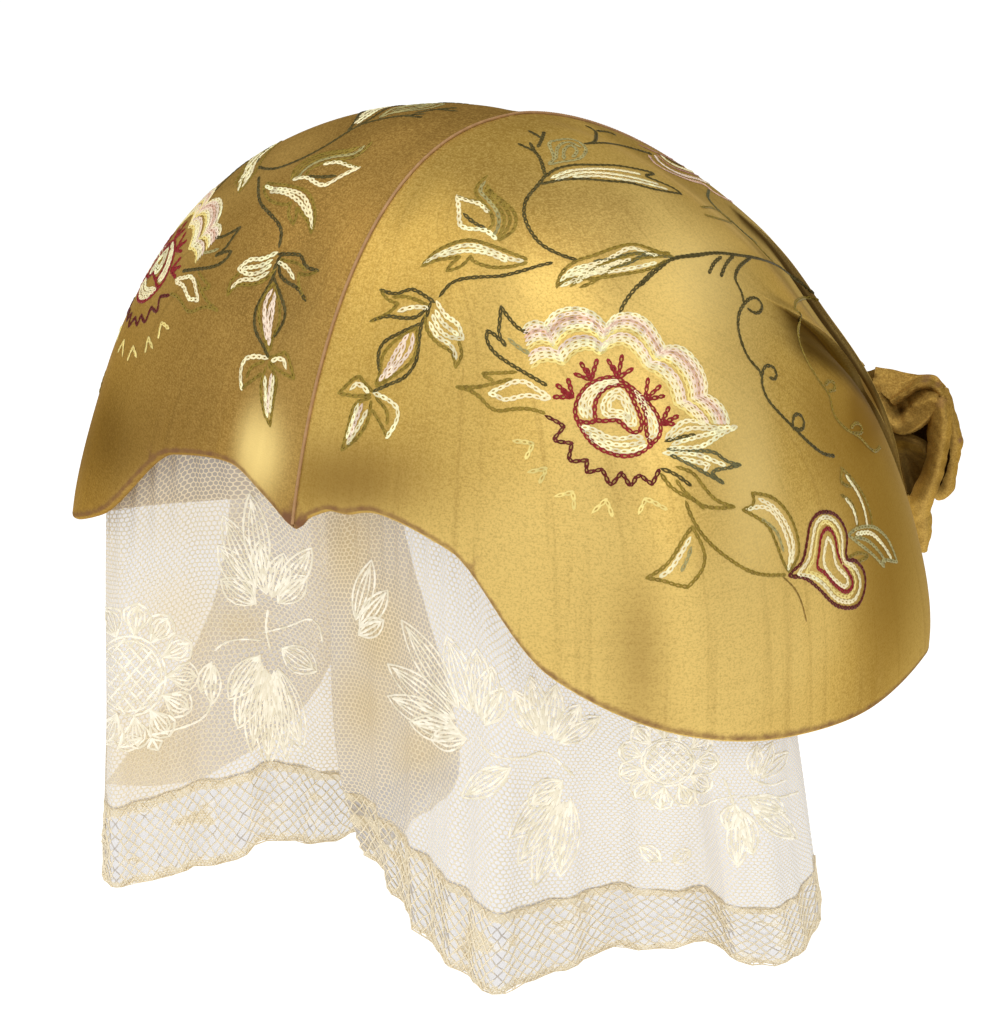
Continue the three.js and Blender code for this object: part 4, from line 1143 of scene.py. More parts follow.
    ("khaki", "smooth", [(692, 527), (684, 538), (674, 555), (664, 567), (647, 578)],
     [(647, 578), (664, 581), (676, 585), (688, 587)],
     [(688, 587), (701, 572), (705, 558), (701, 543), (692, 527)]),
    ("cream", "smooth", [(690, 538), (680, 555), (670, 570), (661, 576)]),
    ("sage", "smooth", [(691, 548), (687, 560), (682, 570)]),
    ("russet", "closed", [(789, 575), (802, 562), (807, 541), (810, 524), (819, 513), (832, 513),
      (841, 521), (847, 536), (846, 558), (856, 561), (864, 572), (865, 587), (859, 604), (848, 608),
      (834, 604), (819, 589), (805, 578)]),
    ("cream", "closed", [(798, 574), (808, 561), (812, 542), (815, 526), (821, 518), (830, 518), (838, 526),
      (842, 538), (843, 560), (853, 566), (859, 576), (860, 587), (855, 599), (847, 602), (835, 598),
      (823, 584), (810, 576)]),
    ("yellow", "closed", [(806, 572), (813, 560), (816, 542), (818, 529), (823, 522), (829, 523),
      (835, 530), (839, 542), (841, 561), (850, 568), (855, 578), (855, 587), (850, 595), (846, 597),
      (836, 593), (825, 580), (813, 573)]),
    ("crimson", "closed", [(817, 567), (819, 553), (821, 536), (828, 528), (835, 538), (838, 555),
      (848, 572), (853, 584), (846, 592), (834, 584), (825, 573)]),
    ("cream", "closed", [(827, 538), (824, 553), (824, 565), (832, 577), (844, 587), (848, 579), (836, 565),
      (833, 548), (828, 537)]),
    ("khaki", "smooth", [(841, 468), (851, 478), (863, 495), (870, 512), (872, 526)],
     [(842, 470), (841, 482), (851, 487)], [(841, 495), (851, 502), (856, 514), (858, 528)]),
    ("cream", "smooth", [(846, 476), (857, 492), (864, 509), (867, 525)],
     [(845, 498), (853, 509), (857, 524)]),
    ("sage", "smooth", [(848, 535), (858, 528), (873, 527), (885, 536), (892, 548), (897, 562)],
     [(897, 562), (882, 560), (885, 568), (873, 555), (858, 543), (848, 535)]),
    ("cream", "smooth", [(856, 534), (870, 533), (882, 544), (891, 558)]),
    ("sage", "smooth", [(855, 537), (868, 541), (880, 553), (885, 562)]),
    ("khaki", "smooth", [(848, 558), (858, 553), (868, 556), (858, 562)]),
    ("faded", "smooth", [(783, 577), (795, 589), (802, 604), (806, 620)]),
    ("khaki", "smooth", [(752, 240), (766, 255), (776, 265)]),
]

# %% Petals of the large flower: rows of stitches from the outer scallop to the inner one
SCALLOPS = [
    {"outer": [(524, 328), (533, 322), (543, 324), (549, 331)],
     "inner": [(532, 366), (540, 360), (552, 359), (563, 363)]},
    {"outer": [(544, 327), (554, 314), (567, 309), (581, 309), (595, 315), (606, 327)],
     "inner": [(564, 362), (571, 353), (581, 348), (590, 347), (596, 350), (600, 353)]},
    {"outer": [(606, 328), (613, 318), (624, 314), (636, 315), (648, 322), (656, 333), (664, 347)],
     "inner": [(601, 353), (609, 346), (620, 342), (628, 345), (634, 350), (640, 357), (645, 366)]},
    {"outer": [(664, 349), (675, 346), (685, 350), (695, 360), (702, 371), (706, 384), (705, 395)],
     "inner": [(647, 368), (656, 371), (663, 377), (669, 383), (672, 389), (674, 395), (676, 404)]},
    {"outer": [(705, 395), (713, 399), (722, 407), (727, 416), (728, 423)],
     "inner": [(677, 404), (683, 407), (689, 412), (694, 417), (699, 422)]},
]
SCALLOP_ROWS = [
    # share of the way inwards, thread
    (0.00, "cream"), (0.12, "pink"), (0.23, "dusty"), (0.33, "pink"), (0.44, "cream"),
    (0.54, "yellow"), (0.72, "pink"), (0.82, "cream"), (0.92, "cream"), (1.03, "yellow"),
]


# %% From strokes to places on the cloth
def through_points(points, kind, step=0.8):
    """Dense line through charted points: sharp keeps corners, smooth and closed are Catmull-Rom curves."""
    p = np.array(points, float)
    if kind == "sharp" or len(p) == 2:
        ends = p
    else:
        count = len(p)
        spans = count if kind == "closed" else count - 1
        pieces = []
        for i in range(spans):
            if kind == "closed":
                v = [p[(i + k) % count] for k in (-1, 0, 1, 2)]
            else:
                v = [p[min(max(i + k, 0), count - 1)] for k in (-1, 0, 1, 2)]
            s = np.linspace(0, 1, 9)[:-1, None]
            pieces.append(through_four(*v, s))
        pieces.append(p[:1] if kind == "closed" else p[-1:])
        ends = np.concatenate(pieces)
    reach = np.concatenate([[0], np.cumsum(np.linalg.norm(np.diff(ends, axis=0), axis=1))])
    places = np.arange(0, reach[-1] + step / 2, step)
    return np.stack([np.interp(places, reach, ends[:, 0]), np.interp(places, reach, ends[:, 1])], 1)


DROP_FROM = 5.0


def surface_of(piece):
    mesh = piece.data
    return BVHTree.FromPolygons([v.co[:] for v in mesh.vertices], [tuple(f.vertices) for f in mesh.polygons])


def lay_along_rays(line, surface):
    """Casts a line of pixels from the camera onto a surface. Gives the places and the outward ways there."""
    origin = Vector(CAMERA_PLACE * MM)
    places, ways = [], []
    for x, y in line:
        hit, normal, _, _ = surface.ray_cast(origin, Vector(pixel_ray(x, y)))
        if hit is None:
            continue
        places.append(np.array(hit) / MM)
        ways.append(np.array(normal))
    return np.array(places), np.array(ways)


def mirror_onto(places, ways, surface):
    """The same line on the other half, dropped onto it from outside."""
    there, new_ways = [], []
    for place, way in zip(places * [-1, 1, 1], ways * [-1, 1, 1]):
        above = Vector((place + DROP_FROM * way) * MM)
        hit, normal, _, _ = surface.ray_cast(above, Vector(-way))
        if hit is None:
            hit, normal, _, _ = surface.find_nearest(above)
        there.append(np.array(hit) / MM)
        new_ways.append(np.array(normal))
    return np.array(there), np.array(new_ways)


def stitch_places(places, ways, length):
    """Spaces stitches evenly along a laid line. Gives each stitch's start, end and outward way."""
    reach = np.concatenate([[0], np.cumsum(np.linalg.norm(np.diff(places, axis=0), axis=1))])
    count = max(int(round(reach[-1] / length)), 1)
    marks = np.linspace(0, reach[-1], count + 1)
    at = np.stack([np.interp(marks, reach, places[:, k]) for k in range(3)], 1)
    out = np.stack([np.interp(marks, reach, ways[:, k]) for k in range(3)], 1)
    return at[:-1], at[1:], unit(out[:-1] + out[1:])


# %% One link of the chain, and its copies
LINK_STRETCH = (1.22, 0.90, 0.62)
LINK_HALF = 0.65  # its half length before it is laid
LINK_NECK = 0.45  # how wide it stays at its start
LINK_OVERLAP = 1.16  # each link runs a little into the next
THREAD_LIFT = 0.06


def model_link():
    """A loop of thread one unit long and one unit wide: a torus primitive drawn in at its start."""
    drop_selection()
    bpy.ops.mesh.primitive_torus_add(major_segments=8, minor_segments=3, major_radius=0.31, minor_radius=0.24)
    link = bpy.context.object
    link.name = "link_model"
    bpy.ops.object.mode_set(mode="EDIT")
    bpy.ops.mesh.select_all(action="SELECT")
    bpy.ops.transform.resize(value=LINK_STRETCH, center_override=(0, 0, 0))
    bpy.ops.object.mode_set(mode="OBJECT")
    for vertex in link.data.vertices:
        share = (vertex.co.x + LINK_HALF) / (2 * LINK_HALF)
        vertex.co.y *= LINK_NECK + (1 - LINK_NECK) * min(share * 1.6, 1.0)
    return link


def copies(name, model, starts, ends, ways, widths):
    """One mesh of many copies of a model, each laid from a start to an end with its own width."""
    shape = np.array([v.co[:] for v in model.data.vertices])
    faces = np.array([tuple(f.vertices) for f in model.data.polygons])
    along = ends - starts
    length = np.linalg.norm(along, axis=1)
    x = unit(along)
    y = unit(np.cross(ways, x))
    z = np.cross(x, y)
    middle = (starts + ends) / 2
    points = (middle[:, None, :] + shape[None, :, 0, None] * (x * length[:, None])[:, None, :] * LINK_OVERLAP
              + shape[None, :, 1, None] * (y * widths[:, None])[:, None, :]
              + (shape[None, :, 2, None] * widths[:, None, None] + THREAD_LIFT) * z[:, None, :])
    count, each = points.shape[:2]
    all_faces = (faces[None] + (np.arange(count) * each)[:, None, None]).reshape(-1, faces.shape[1])
    mesh = bpy.data.meshes.new(name)
    mesh.from_pydata((points.reshape(-1, 3) * MM).tolist(), [], all_faces.tolist())
    tone = mesh.attributes.new("tone", "FLOAT", "POINT")
    tone.data.foreach_set("value", np.repeat(rng.random(count), each).astype(np.float32))
    piece = bpy.data.objects.new(name, mesh)
    bpy.context.scene.collection.objects.link(piece)
    smooth(piece, 80)
    return piece


def thread_material(name, colour):
    material, n, shader = new_material(name)
    tone = n.add("ShaderNodeAttribute", attribute_name="tone")
    coords = n.add("ShaderNodeTexCoord")
    light = tuple(min(c * 1.25 + 0.01, 1) for c in colour[:3]) + (1,)
    dark = tuple(c * 0.66 for c in colour[:3]) + (1,)
    shade = n.mix(tone.outputs["Fac"], dark, light)
    patches = n.ramp(n.noise(coords.outputs["Object"], 90.0), 0.3, 0.7)
    n.give(shader.inputs["Base Color"], n.mix(patches, shade, colour))
    shader.inputs["Roughness"].default_value = 0.6
    shader.inputs["Specular IOR Level"].default_value = 0.18
    return material


# %% Work the chart on both halves
def between_arcs(outer, inner, share):
    a = through_points(outer, "smooth", 0.5)
    b = through_points(inner, "smooth", 0.5)
    s = np.linspace(0, 1, 60)
    pick = lambda line: line[np.round(s * (len(line) - 1)).astype(int)]
    return pick(a) * (1 - share) + pick(b) * share


worked = [(thread, through_points(points, kind)) for thread, kind, *lines in STROKES for points in lines]
for petal in SCALLOPS:
    for share, thread in SCALLOP_ROWS:
        worked.append((thread, between_arcs(petal["outer"], petal["inner"], share)))

link_model = model_link()
surfaces = {side: surface_of(crowns[side]) for side in crowns}
stitches = {}
for thread, line in worked:
    length = THREADS[thread][1]
    places, ways = lay_along_rays(line, surfaces["left"])
    if len(places) < 2:
        continue
    for side in ("left", "right"):
        if side == "right":
            places, ways = mirror_onto(places, ways, surfaces["right"])
        starts, ends, outs = stitch_places(places, ways, length)
        stitches.setdefault((thread, side), []).append((starts, ends, outs))
for (thread, side), rows in stitches.items():
    colour, length, width = THREADS[thread]
    starts, ends, outs = (np.concatenate(column) for column in zip(*rows))
    widths = width * (0.9 + 0.2 * rng.random(len(starts)))
    piece = copies(f"stitch_{thread}_{side}", link_model, starts, ends, outs, widths)
    material = bpy.data.materials.get(f"thread_{thread}") or thread_material(f"thread_{thread}", colour)
    piece.data.materials.append(material)
    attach(piece, "root")
    print(piece.name, len(starts), "stitches")
bpy.data.objects.remove(link_model)

# %% [markdown]
# ## The frill
# A strip of net is gathered inside the front edge and hangs in folds. Each row of the table is a station
# along the strip: the angle where it is sewn, how far inside the shell, and where its hem hangs.

# %% Stations of the frill
FRILL = [
    # angle, inset, hem x, hem y, hem z, bulge x, bulge y
    (-62, 0.0, -57.0, -38.0, -57.0, 0, 0),
    (-54, 0.4, -50.0, -40.0, -57.5, 0, -1),
    (-44, 0.6, -46.0, -30.0, -57.0, 0, 0),
    (-30, 0.2, -41.0, -20.5, -56.0, 0, 2),
    (-17, 0.8, -38.5, -13.5, -54.0, -1, 2),
    (-6, 2.0, -32.0, -9.5, -53.0, -1, 2),
    (4, 5.0, -23.0, -5.5, -50.5, 2, 2),
    (14, 6.0, -13.0, 7.0, -42.0, 9, -4),
    (14, 3.6, -10.6, 6.0, -42.5, 9, -5),
    (5, 2.8, -14.0, -5.0, -49.0, 1, -2),
    (2, 0.6, -15.5, -9.0, -50.0, 0, -4),
    (10, 0.4, -8.0, -13.0, -50.0, 0, -3),
    (19, 0.6, 3.0, -20.0, -50.0, 0, -2),
    (29, 0.2, 15.0, -27.0, -50.0, 0, -1),
    (38, 0.6, 29.0, -33.0, -50.0, 0, -1),
    (47, 0.2, 40.5, -35.0, -50.0, 0, -1),
    (53, 0.4, 43.0, -22.0, -50.0, -1, 1),
    (59, 0.6, 44.0, -10.0, -50.0, -1, 2),
    (65, 0.6, 49.5, -4.0, -50.0, -1, 1),
    (71, 1.2, 55.0, 5.0, -50.0, 0, 1),
    (75, 0.4, 63.0, 2.5, -50.0, 0, -1),
    (80, 0.2, 70.0, 8.0, -50.0, 0, 0),
    (86, 0.6, 69.5, 16.0, -50.0, 0, 0),
    (91, 1.2, 63.0, 27.0, -47.0, 0, 0),
]
FRILL_TABLE = np.array(FRILL, float)
STATIONS = len(FRILL) - 1
SEWN_UP = 0.075
FREE_GAP = 0.3
LACE_WALL = 0.9
BORDER_SHARE = 0.19


def frill_point(place, down):
    """A point of the frill: place in stations, down from 0 at the sewn edge to 1 at the hem."""
    row = smooth_through(FRILL_TABLE, np.clip(place, 0, STATIONS))
    depth = WALL + FREE_GAP + LACE_WALL / 2 + 0.25 + np.maximum(row[:, 1], 0)
    sewn = shell_form(row[:, 0], SEWN_UP) - shell_normal(row[:, 0], SEWN_UP) * depth[:, None]
    point = sewn + (row[:, 2:5] - sewn) * down[:, None]
    belly = 6.75 * down * down * (1 - down)
    point[:, :2] += row[:, 5:7] * belly[:, None]
    return point


fine = np.linspace(0, STATIONS, 3001)
steps = np.linalg.norm(np.diff(frill_point(fine, fine * 0 + 0.6), axis=0), axis=1)
travelled = np.concatenate([[0], np.cumsum(steps)])
FRILL_LENGTH = travelled[-1]
middle_fall = frill_point(np.full(40, 14.0), np.linspace(0, 1, 40))
FRILL_DROP = float(np.linalg.norm(np.diff(middle_fall, axis=0), axis=1).sum())
print("frill:", round(FRILL_LENGTH), "mm round the hem,", round(FRILL_DROP), "mm deep")


def frill_station(share):
    return np.interp(share * FRILL_LENGTH, travelled, fine)


def frill_cloth(share, down, off=0.0):
    """The frill with its small gathers, tight below the seam and slack at the hem. off lifts it forwards."""
    place = frill_station(share)
    point = frill_point(place, down)
    around = frill_point(place + 0.04, down) - frill_point(place - 0.04, down)
    fall = frill_point(place, np.minimum(down + 0.02, 1)) - frill_point(place, np.maximum(down - 0.02, 0))
    normal = unit(np.cross(around, fall))
    reach = share * FRILL_LENGTH
    tight = 0.5 * np.sin(reach * 1.30 + 1.5 * np.sin(reach * 0.11))
    slack = 0.55 * np.sin(reach * 0.42 + 2.0 * np.sin(reach * 0.05) + down * 1.5)
    wave = tight * (1 - soft_step(0.0, 0.42, down)) + slack * soft_step(0.1, 0.7, down)
    wave = wave + 0.30 * np.sin(reach * 0.95 + down * 2.6) * soft_step(0.2, 0.9, down)
    return point + normal * (wave + off)[:, None]


# %% [markdown]
# ### Fine net
# The net is a machine tulle of six-sided meshes, a millimetre wide. The sheet is one surface, and a group
# of nodes draws the threads from the sheet's UV map, which is in millimetres of cloth.

# %% Net group: six-sided meshes
NET_PITCH = 1.02
NET_THREAD = 0.23
SIN_60 = 0.8660254
HOLE_VEIL = 0.62
LACE_IVORY, LACE_SHADE = rgb(228, 216, 192), rgb(212, 198, 168)
LACE_VEIL = rgb(194, 190, 189)
LACE_GOLD_BOUNCE = rgb(204, 182, 138)  # painted reflected light: the gold tint of the folds that lie deep under the gold
LACE_GLOW = 0.07  # painted glow, for light that passes through the thin threads
DEEP_GLOW = 4  # how much stronger the painted glow is in the deep folds
net_group, net_in, net_out = new_group(
    "net_meshes",
    [("Cloth", "NodeSocketVector", None), ("Pitch", "NodeSocketFloat", NET_PITCH),
     ("Thread", "NodeSocketFloat", NET_THREAD)],
    [("Thread", "NodeSocketFloat")],
)
n = Nodes(net_group)
cloth_place, pitch = net_in.outputs["Cloth"], net_in.outputs["Pitch"]
drift = n.add("ShaderNodeTexNoise", {"Vector": cloth_place, "Scale": 0.12, "Detail": 1.0}).outputs["Color"]
pull = n.vector("SCALE", n.vector("SUBTRACT", drift, (0.5, 0.5, 0.5)), scale=1.6)
cell = n.add("ShaderNodeCombineXYZ", {0: pitch, 1: pitch, 2: 1.0}).outputs[0]
mesh_place = n.vector("DIVIDE", n.vector("ADD", cloth_place, pull), cell)
cell_size = (1.0, 2 * SIN_60, 1.0)
half_cell = (0.5, SIN_60, 0.5)


def in_cell(place):
    """Folds the plane into one cell and counts from its middle."""
    wrapped = n.add("ShaderNodeVectorMath", {0: place, 1: cell_size, 2: (0, 0, 0)}, operation="WRAP")
    return n.vector("SUBTRACT", wrapped.outputs[0], half_cell)


def flat_length(vector):
    return n.vector("LENGTH", n.vector("MULTIPLY", vector, (1, 1, 0)))


first, second = in_cell(mesh_place), in_cell(n.vector("SUBTRACT", mesh_place, half_cell))
nearer = n.math("LESS_THAN", flat_length(first), flat_length(second))
chosen = n.vector("ADD", n.vector("SCALE", first, scale=nearer),
                  n.vector("SCALE", second, scale=n.math("SUBTRACT", 1.0, nearer)))
spread = n.vector("ABSOLUTE", chosen)
parts = n.add("ShaderNodeSeparateXYZ", {0: spread})
slant = n.math("MULTIPLY_ADD", parts.outputs[1], SIN_60, n.math("MULTIPLY", parts.outputs[0], 0.5))
to_edge = n.math("SUBTRACT", 0.5, n.math("MAXIMUM", slant, parts.outputs[0]))
half_thread = n.math("DIVIDE", n.math("MULTIPLY", net_in.outputs["Thread"], 0.5), pitch)
n.give(net_out.inputs["Thread"], n.math("LESS_THAN", to_edge, half_thread))


def meshes_on(n, coords, pitch, thread):
    """Where the threads of a net lie on a cloth: 1 on a thread and 0 in a mesh."""
    meshes = n.add("ShaderNodeGroup", node_tree=net_group)
    for label, value in (("Cloth", coords.outputs["UV"]), ("Pitch", pitch), ("Thread", thread)):
        n.give(meshes.inputs[label], value)
    return meshes.outputs["Thread"]


def net_material():
    """Threads in ivory. The small air gaps keep a thin grey veil, as net shows over a pale wall.
    Deep folds and listed spots get painted gold reflected light and a stronger painted glow.
    """
    material, n, shader = new_material("fine_net_cloth")
    coords = n.add("ShaderNodeTexCoord")
    threads = meshes_on(n, coords, NET_PITCH, NET_THREAD)
    tone = n.mix(n.noise(coords.outputs["Object"], 60.0), LACE_SHADE, LACE_IVORY)
    gold_bounce = n.add("ShaderNodeAttribute", attribute_name="gold_bounce").outputs["Fac"]
    tone = n.mix(n.math("MULTIPLY", gold_bounce, 0.4), tone, LACE_GOLD_BOUNCE)
    colour = n.mix(threads, n.mix(gold_bounce, LACE_VEIL, LACE_GOLD_BOUNCE), tone)
    make_matte(n, shader, colour, LACE_GLOW * DEEP_GLOW)
    deep = n.add("ShaderNodeAttribute", attribute_name="deep_fold").outputs["Fac"]
    plain_glow = n.mix(1 - 1 / DEEP_GLOW, colour, rgb(0, 0, 0))
    n.give(shader.inputs["Emission Color"], n.mix(deep, plain_glow, colour))
    n.give(shader.inputs["Alpha"], n.ramp(threads, 0.0, 1.0, HOLE_VEIL, 1.0))
    return material


# %% Hang the net
NET_COLUMNS, NET_ROWS = 520, 44
NET_END = 1 - BORDER_SHARE
GOLD_BOUNCE_SPOTS = [
    # pixel, width and height in mm, amount: painted gold reflected light and shade where the net hangs under
    # the crown
    ((350, 545), 6, 12, 1.0),
    ((378, 635), 6, 12, 1.0),
    ((365, 705), 7, 10, 0.9),
    ((418, 748), 6, 6, 0.8),
    ((180, 618), 9, 9, 0.9),
    ((145, 745), 11, 11, 0.9),
    ((236, 624), 7, 4, 0.8),
    ((110, 560), 3, 20, 0.5),
    ((195, 520), 14, 7, 0.5),
]
INNER_FOLD = {"middle": 7.5, "half_width": 2.0}  # stations of the fold that turns back under the peak


def net_form(across, along):
    return frill_cloth(across, (1 - along) * NET_END)


net = draped_grid("fine_net", NET_COLUMNS, NET_ROWS, net_form)
scale_uv(net, FRILL_LENGTH, FRILL_DROP * NET_END)
smooth(net, 180)
fold_place = frill_station(np.tile(np.linspace(0, 1, NET_COLUMNS + 1), NET_ROWS + 1))
# the fold turned back under the peak gets the stronger painted glow
deep_fold = bell(fold_place - INNER_FOLD["middle"], INNER_FOLD["half_width"])
set_wear(net, deep_fold, "deep_fold")
# painted gold reflected light in the deep fold and at the listed spots
gold_bounce = deep_fold
for pixel, width, height, amount in GOLD_BOUNCE_SPOTS:
    gold_bounce = np.maximum(gold_bounce, amount * bell(beside_ray(points_of(net), pixel, height / width), width))
set_wear(net, gold_bounce, "gold_bounce")
fine_cloth = net_material()
dress(net, fine_cloth, "lace_net")
print("net", triangle_count(net), "triangles")

# %% Turned-in end of the net, which shows through the front layer
TURNED_END = [
    [(232, 486, -16), (290, 500, -13), (345, 512, -10)],
    [(214, 600, -18), (278, 622, -14), (338, 640, -9)],
    [(165, 700, -21), (228, 716, -17), (290, 722, -12)],
    [(105, 784, -25), (150, 786, -22), (200, 780, -17)],
]
END_GRID = (60, 90)
turned_end = draped_grid("net_turned_end", *END_GRID, fold_form(TURNED_END, 1, ripple=0.5))
END_SIZE = cloth_size(turned_end, *END_GRID)
scale_uv(turned_end, END_SIZE[0] / MM, END_SIZE[1] / MM)
smooth(turned_end, 180)
# the turned-in end gets the full painted gold light and the stronger painted glow
for label in ("gold_bounce", "deep_fold"):
    set_wear(turned_end, np.ones(len(turned_end.data.vertices)), label)
dress(turned_end, fine_cloth)

# %% [markdown]
# ### Bobbin border
# The border is open work of plaited strands in diamonds. A grid primitive is poked, its own edges are
# dissolved, and diamonds are left. A wireframe modifier gives each edge its thickness.

# %% Border of diamonds
BORDER_PITCH = 1.95
BORDER_ROWS = 7
BORDER_STRAND = 0.38
BORDER_JITTER = 0.13
border_columns = int(FRILL_LENGTH / BORDER_PITCH)


def border_form(across, along):
    return frill_cloth(across, 1 - along * BORDER_SHARE)


def turn_to_diamonds(piece, corner_count):
    """Pokes each face, then dissolves the edges between the old corners, which leaves diamonds."""
    edit(piece, lambda: bpy.ops.mesh.poke(), lambda: bpy.ops.mesh.select_all(action="DESELECT"),
         lambda: bpy.ops.mesh.select_mode(type="EDGE"))
    for edge in piece.data.edges:
        first, second = edge.vertices
        edge.select = first < corner_count and second < corner_count
    bpy.ops.object.mode_set(mode="EDIT")
    bpy.ops.mesh.dissolve_edges(use_verts=False, use_face_split=False)
    bpy.ops.mesh.select_mode(type="VERT")
    bpy.ops.object.mode_set(mode="OBJECT")


border = draped_grid("border_strands", border_columns, BORDER_ROWS, border_form)
turn_to_diamonds(border, (border_columns + 1) * (BORDER_ROWS + 1))
jitter = rng.normal(0, BORDER_JITTER, (len(border.data.vertices), 3))
border.data.vertices.foreach_set("co", ((points_of(border) + jitter) * MM).ravel())
strands = border.modifiers.new("strands", "WIREFRAME")
strands.thickness = BORDER_STRAND * MM
strands.use_even_offset = False
strands.use_replace = True
apply_modifiers(border)
lace_thread, n, shader = new_material("lace_thread")
coords = n.add("ShaderNodeTexCoord")
thread_tone = n.mix(n.noise(coords.outputs["Object"], 160.0), rgb(216, 203, 172), rgb(232, 221, 198))
make_matte(n, shader, thread_tone, LACE_GLOW * 2)
dress(border, lace_thread, "lace_border")
print("border", triangle_count(border), "triangles")

# %% [markdown]
# ### Cloth work in the border
# Among the open diamonds the lace maker filled some places with close plain weave, and worked a dense
# heading along the top and a worn hem below. One more sheet carries these, in a close mesh.

# %% Close work, heading and hem
HEADING = 2.2
HEM = 1.4
BORDER_DEEP = FRILL_DROP * BORDER_SHARE
CLOSE_PITCH, CLOSE_THREAD = 0.62, 0.34
CLOSE_GRID = (700, 16)
CLOSE_OVERHANG = 1.02  # it reaches a little over the net
CLOSE_LIFT = 0.12


def close_form(across, along):
    return frill_cloth(across, 1 - along * BORDER_SHARE * CLOSE_OVERHANG, off=CLOSE_LIFT)


close_work = draped_grid("border_close_work", *CLOSE_GRID, close_form)
scale_uv(close_work, FRILL_LENGTH, BORDER_DEEP * CLOSE_OVERHANG)
smooth(close_work, 180)
close_material, n, shader = new_material("border_close_work")
coords = n.add("ShaderNodeTexCoord")
weave = meshes_on(n, coords, CLOSE_PITCH, CLOSE_THREAD)
flat_place = n.add("ShaderNodeSeparateXYZ", {0: coords.outputs["UV"]})
up_border = flat_place.outputs[1]
rough_edge = n.noise(coords.outputs["UV"], 1.1, 3.0, 0.65)
patches = n.noise(n.vector("MULTIPLY", coords.outputs["UV"], (0.085, 0.15, 1.0)), 1.0, 2.0, 0.5)
patch = n.ramp(n.math("MULTIPLY_ADD", rough_edge, 0.22, patches), 0.66, 0.74)
heading_line = n.math("MULTIPLY_ADD", n.math("SUBTRACT", rough_edge, 0.5), 2.2, up_border)
heading = n.ramp(heading_line, BORDER_DEEP - HEADING, BORDER_DEEP - HEADING + 0.35)
hem_line = n.math("MULTIPLY_ADD", n.math("SUBTRACT", rough_edge, 0.5), 5.0, up_border)
hem = n.ramp(hem_line, HEM + 0.5, HEM)
filled = n.math("MAXIMUM", n.math("MAXIMUM", heading, hem), patch)
woven = n.math("MULTIPLY_ADD", weave, 0.5, 0.5)
n.give(shader.inputs["Alpha"], n.math("MAXIMUM", n.math("MULTIPLY", filled, woven), HOLE_VEIL))
cloth_tone = n.mix(n.noise(coords.outputs["UV"], 0.9, 3.0, 0.7), rgb(206, 192, 158), LACE_IVORY)
cloth_tone = n.mix(filled, rgb(184, 179, 176), cloth_tone)
make_matte(n, shader, cloth_tone, LACE_GLOW, 0.95)
n.bump(shader, 0.6, rough_edge)
dress(close_work, close_material)
print("close work", triangle_count(close_work), "triangles")

# %% [markdown]
# ### Flowers on the net
# Sprays of leaves and two round flowers are run onto the net with thick soft thread. Leaves and petals come
# from small tables: where each starts, where its tip is, and how wide it is. The rows of thread in a leaf
# are worked out, then laid on the front layer of the net along the camera's rays.

# %% Chart of the net's flowers, in pixels of the photograph
SPRAYS = [
    {"base": (268, 612), "width": 25, "tips": [(250, 493), (223, 515), (218, 545), (221, 579), (260, 540),
                                               (284, 553), (307, 576), (312, 548)]},
    {"base": (270, 640), "width": 27, "tips": [(229, 699), (238, 728), (252, 752), (268, 767), (286, 760),
                                               (302, 751), (317, 671)]},
    {"base": (479, 738), "width": 25, "tips": [(402, 620), (447, 636), (477, 648), (492, 666), (504, 688),
                                               (388, 664), (388, 696), (410, 722), (431, 739)]},
    {"base": (527, 758), "width": 26, "tips": [(462, 797)]},
    {"base": (574, 772), "width": 28, "tips": [(509, 838), (518, 864), (534, 887), (560, 876), (528, 806)]},
    {"base": (546, 752), "width": 22, "tips": [(514, 690), (530, 676), (556, 684), (580, 704), (600, 716)]},
    {"base": (737, 795), "width": 22, "tips": [(797, 838), (786, 812), (753, 854), (738, 866), (728, 830)]},
    {"base": (752, 786), "width": 16, "tips": [(756, 745), (772, 742), (788, 752)]},
    {"base": (150, 735), "width": 16, "tips": [(118, 748), (158, 750)]},
    {"base": (215, 652), "width": 16, "tips": [(201, 692), (212, 704)]},
    {"base": (350, 640), "width": 20, "tips": [(372, 560), (388, 590), (384, 620)]},
    {"base": (668, 866), "width": 16, "tips": [(640, 846), (690, 850)]},
]
NET_FLOWERS = [
    {"middle": (130, 676), "across": 36, "up": 40, "petals": 13, "reach": 33},
    {"middle": (668, 762), "across": 27, "up": 24, "petals": 11, "reach": 24},
]
NET_STEMS = [
    [(264, 632), (289, 626), (307, 619), (318, 623), (323, 642)],
    [(260, 640), (242, 639), (226, 642), (215, 650)],
    [(268, 610), (266, 628), (270, 648)],
    [(479, 736), (485, 749), (501, 758), (527, 757), (546, 752), (574, 776)],
    [(739, 798), (760, 796), (780, 797), (798, 792)],
    [(751, 779), (770, 785), (787, 779)],
    [(724, 779), (731, 796), (739, 822), (753, 854)],
    [(737, 795), (715, 800), (700, 806), (694, 790)],
    [(150, 735), (180, 728), (205, 716), (215, 690)],
]
RUN_LENGTH, RUN_WIDTH = 1.9, 0.46
# painted glow of the flowers' thread
FLOWER_GLOW = 0.12
FOLD_JUMP = 2.5  # a line that jumps farther than this has crossed a fold, and is cut there
LEAF_ROW_GAP = 4.6
LEAF_START = 0.26
PETAL_FULL = 1.6


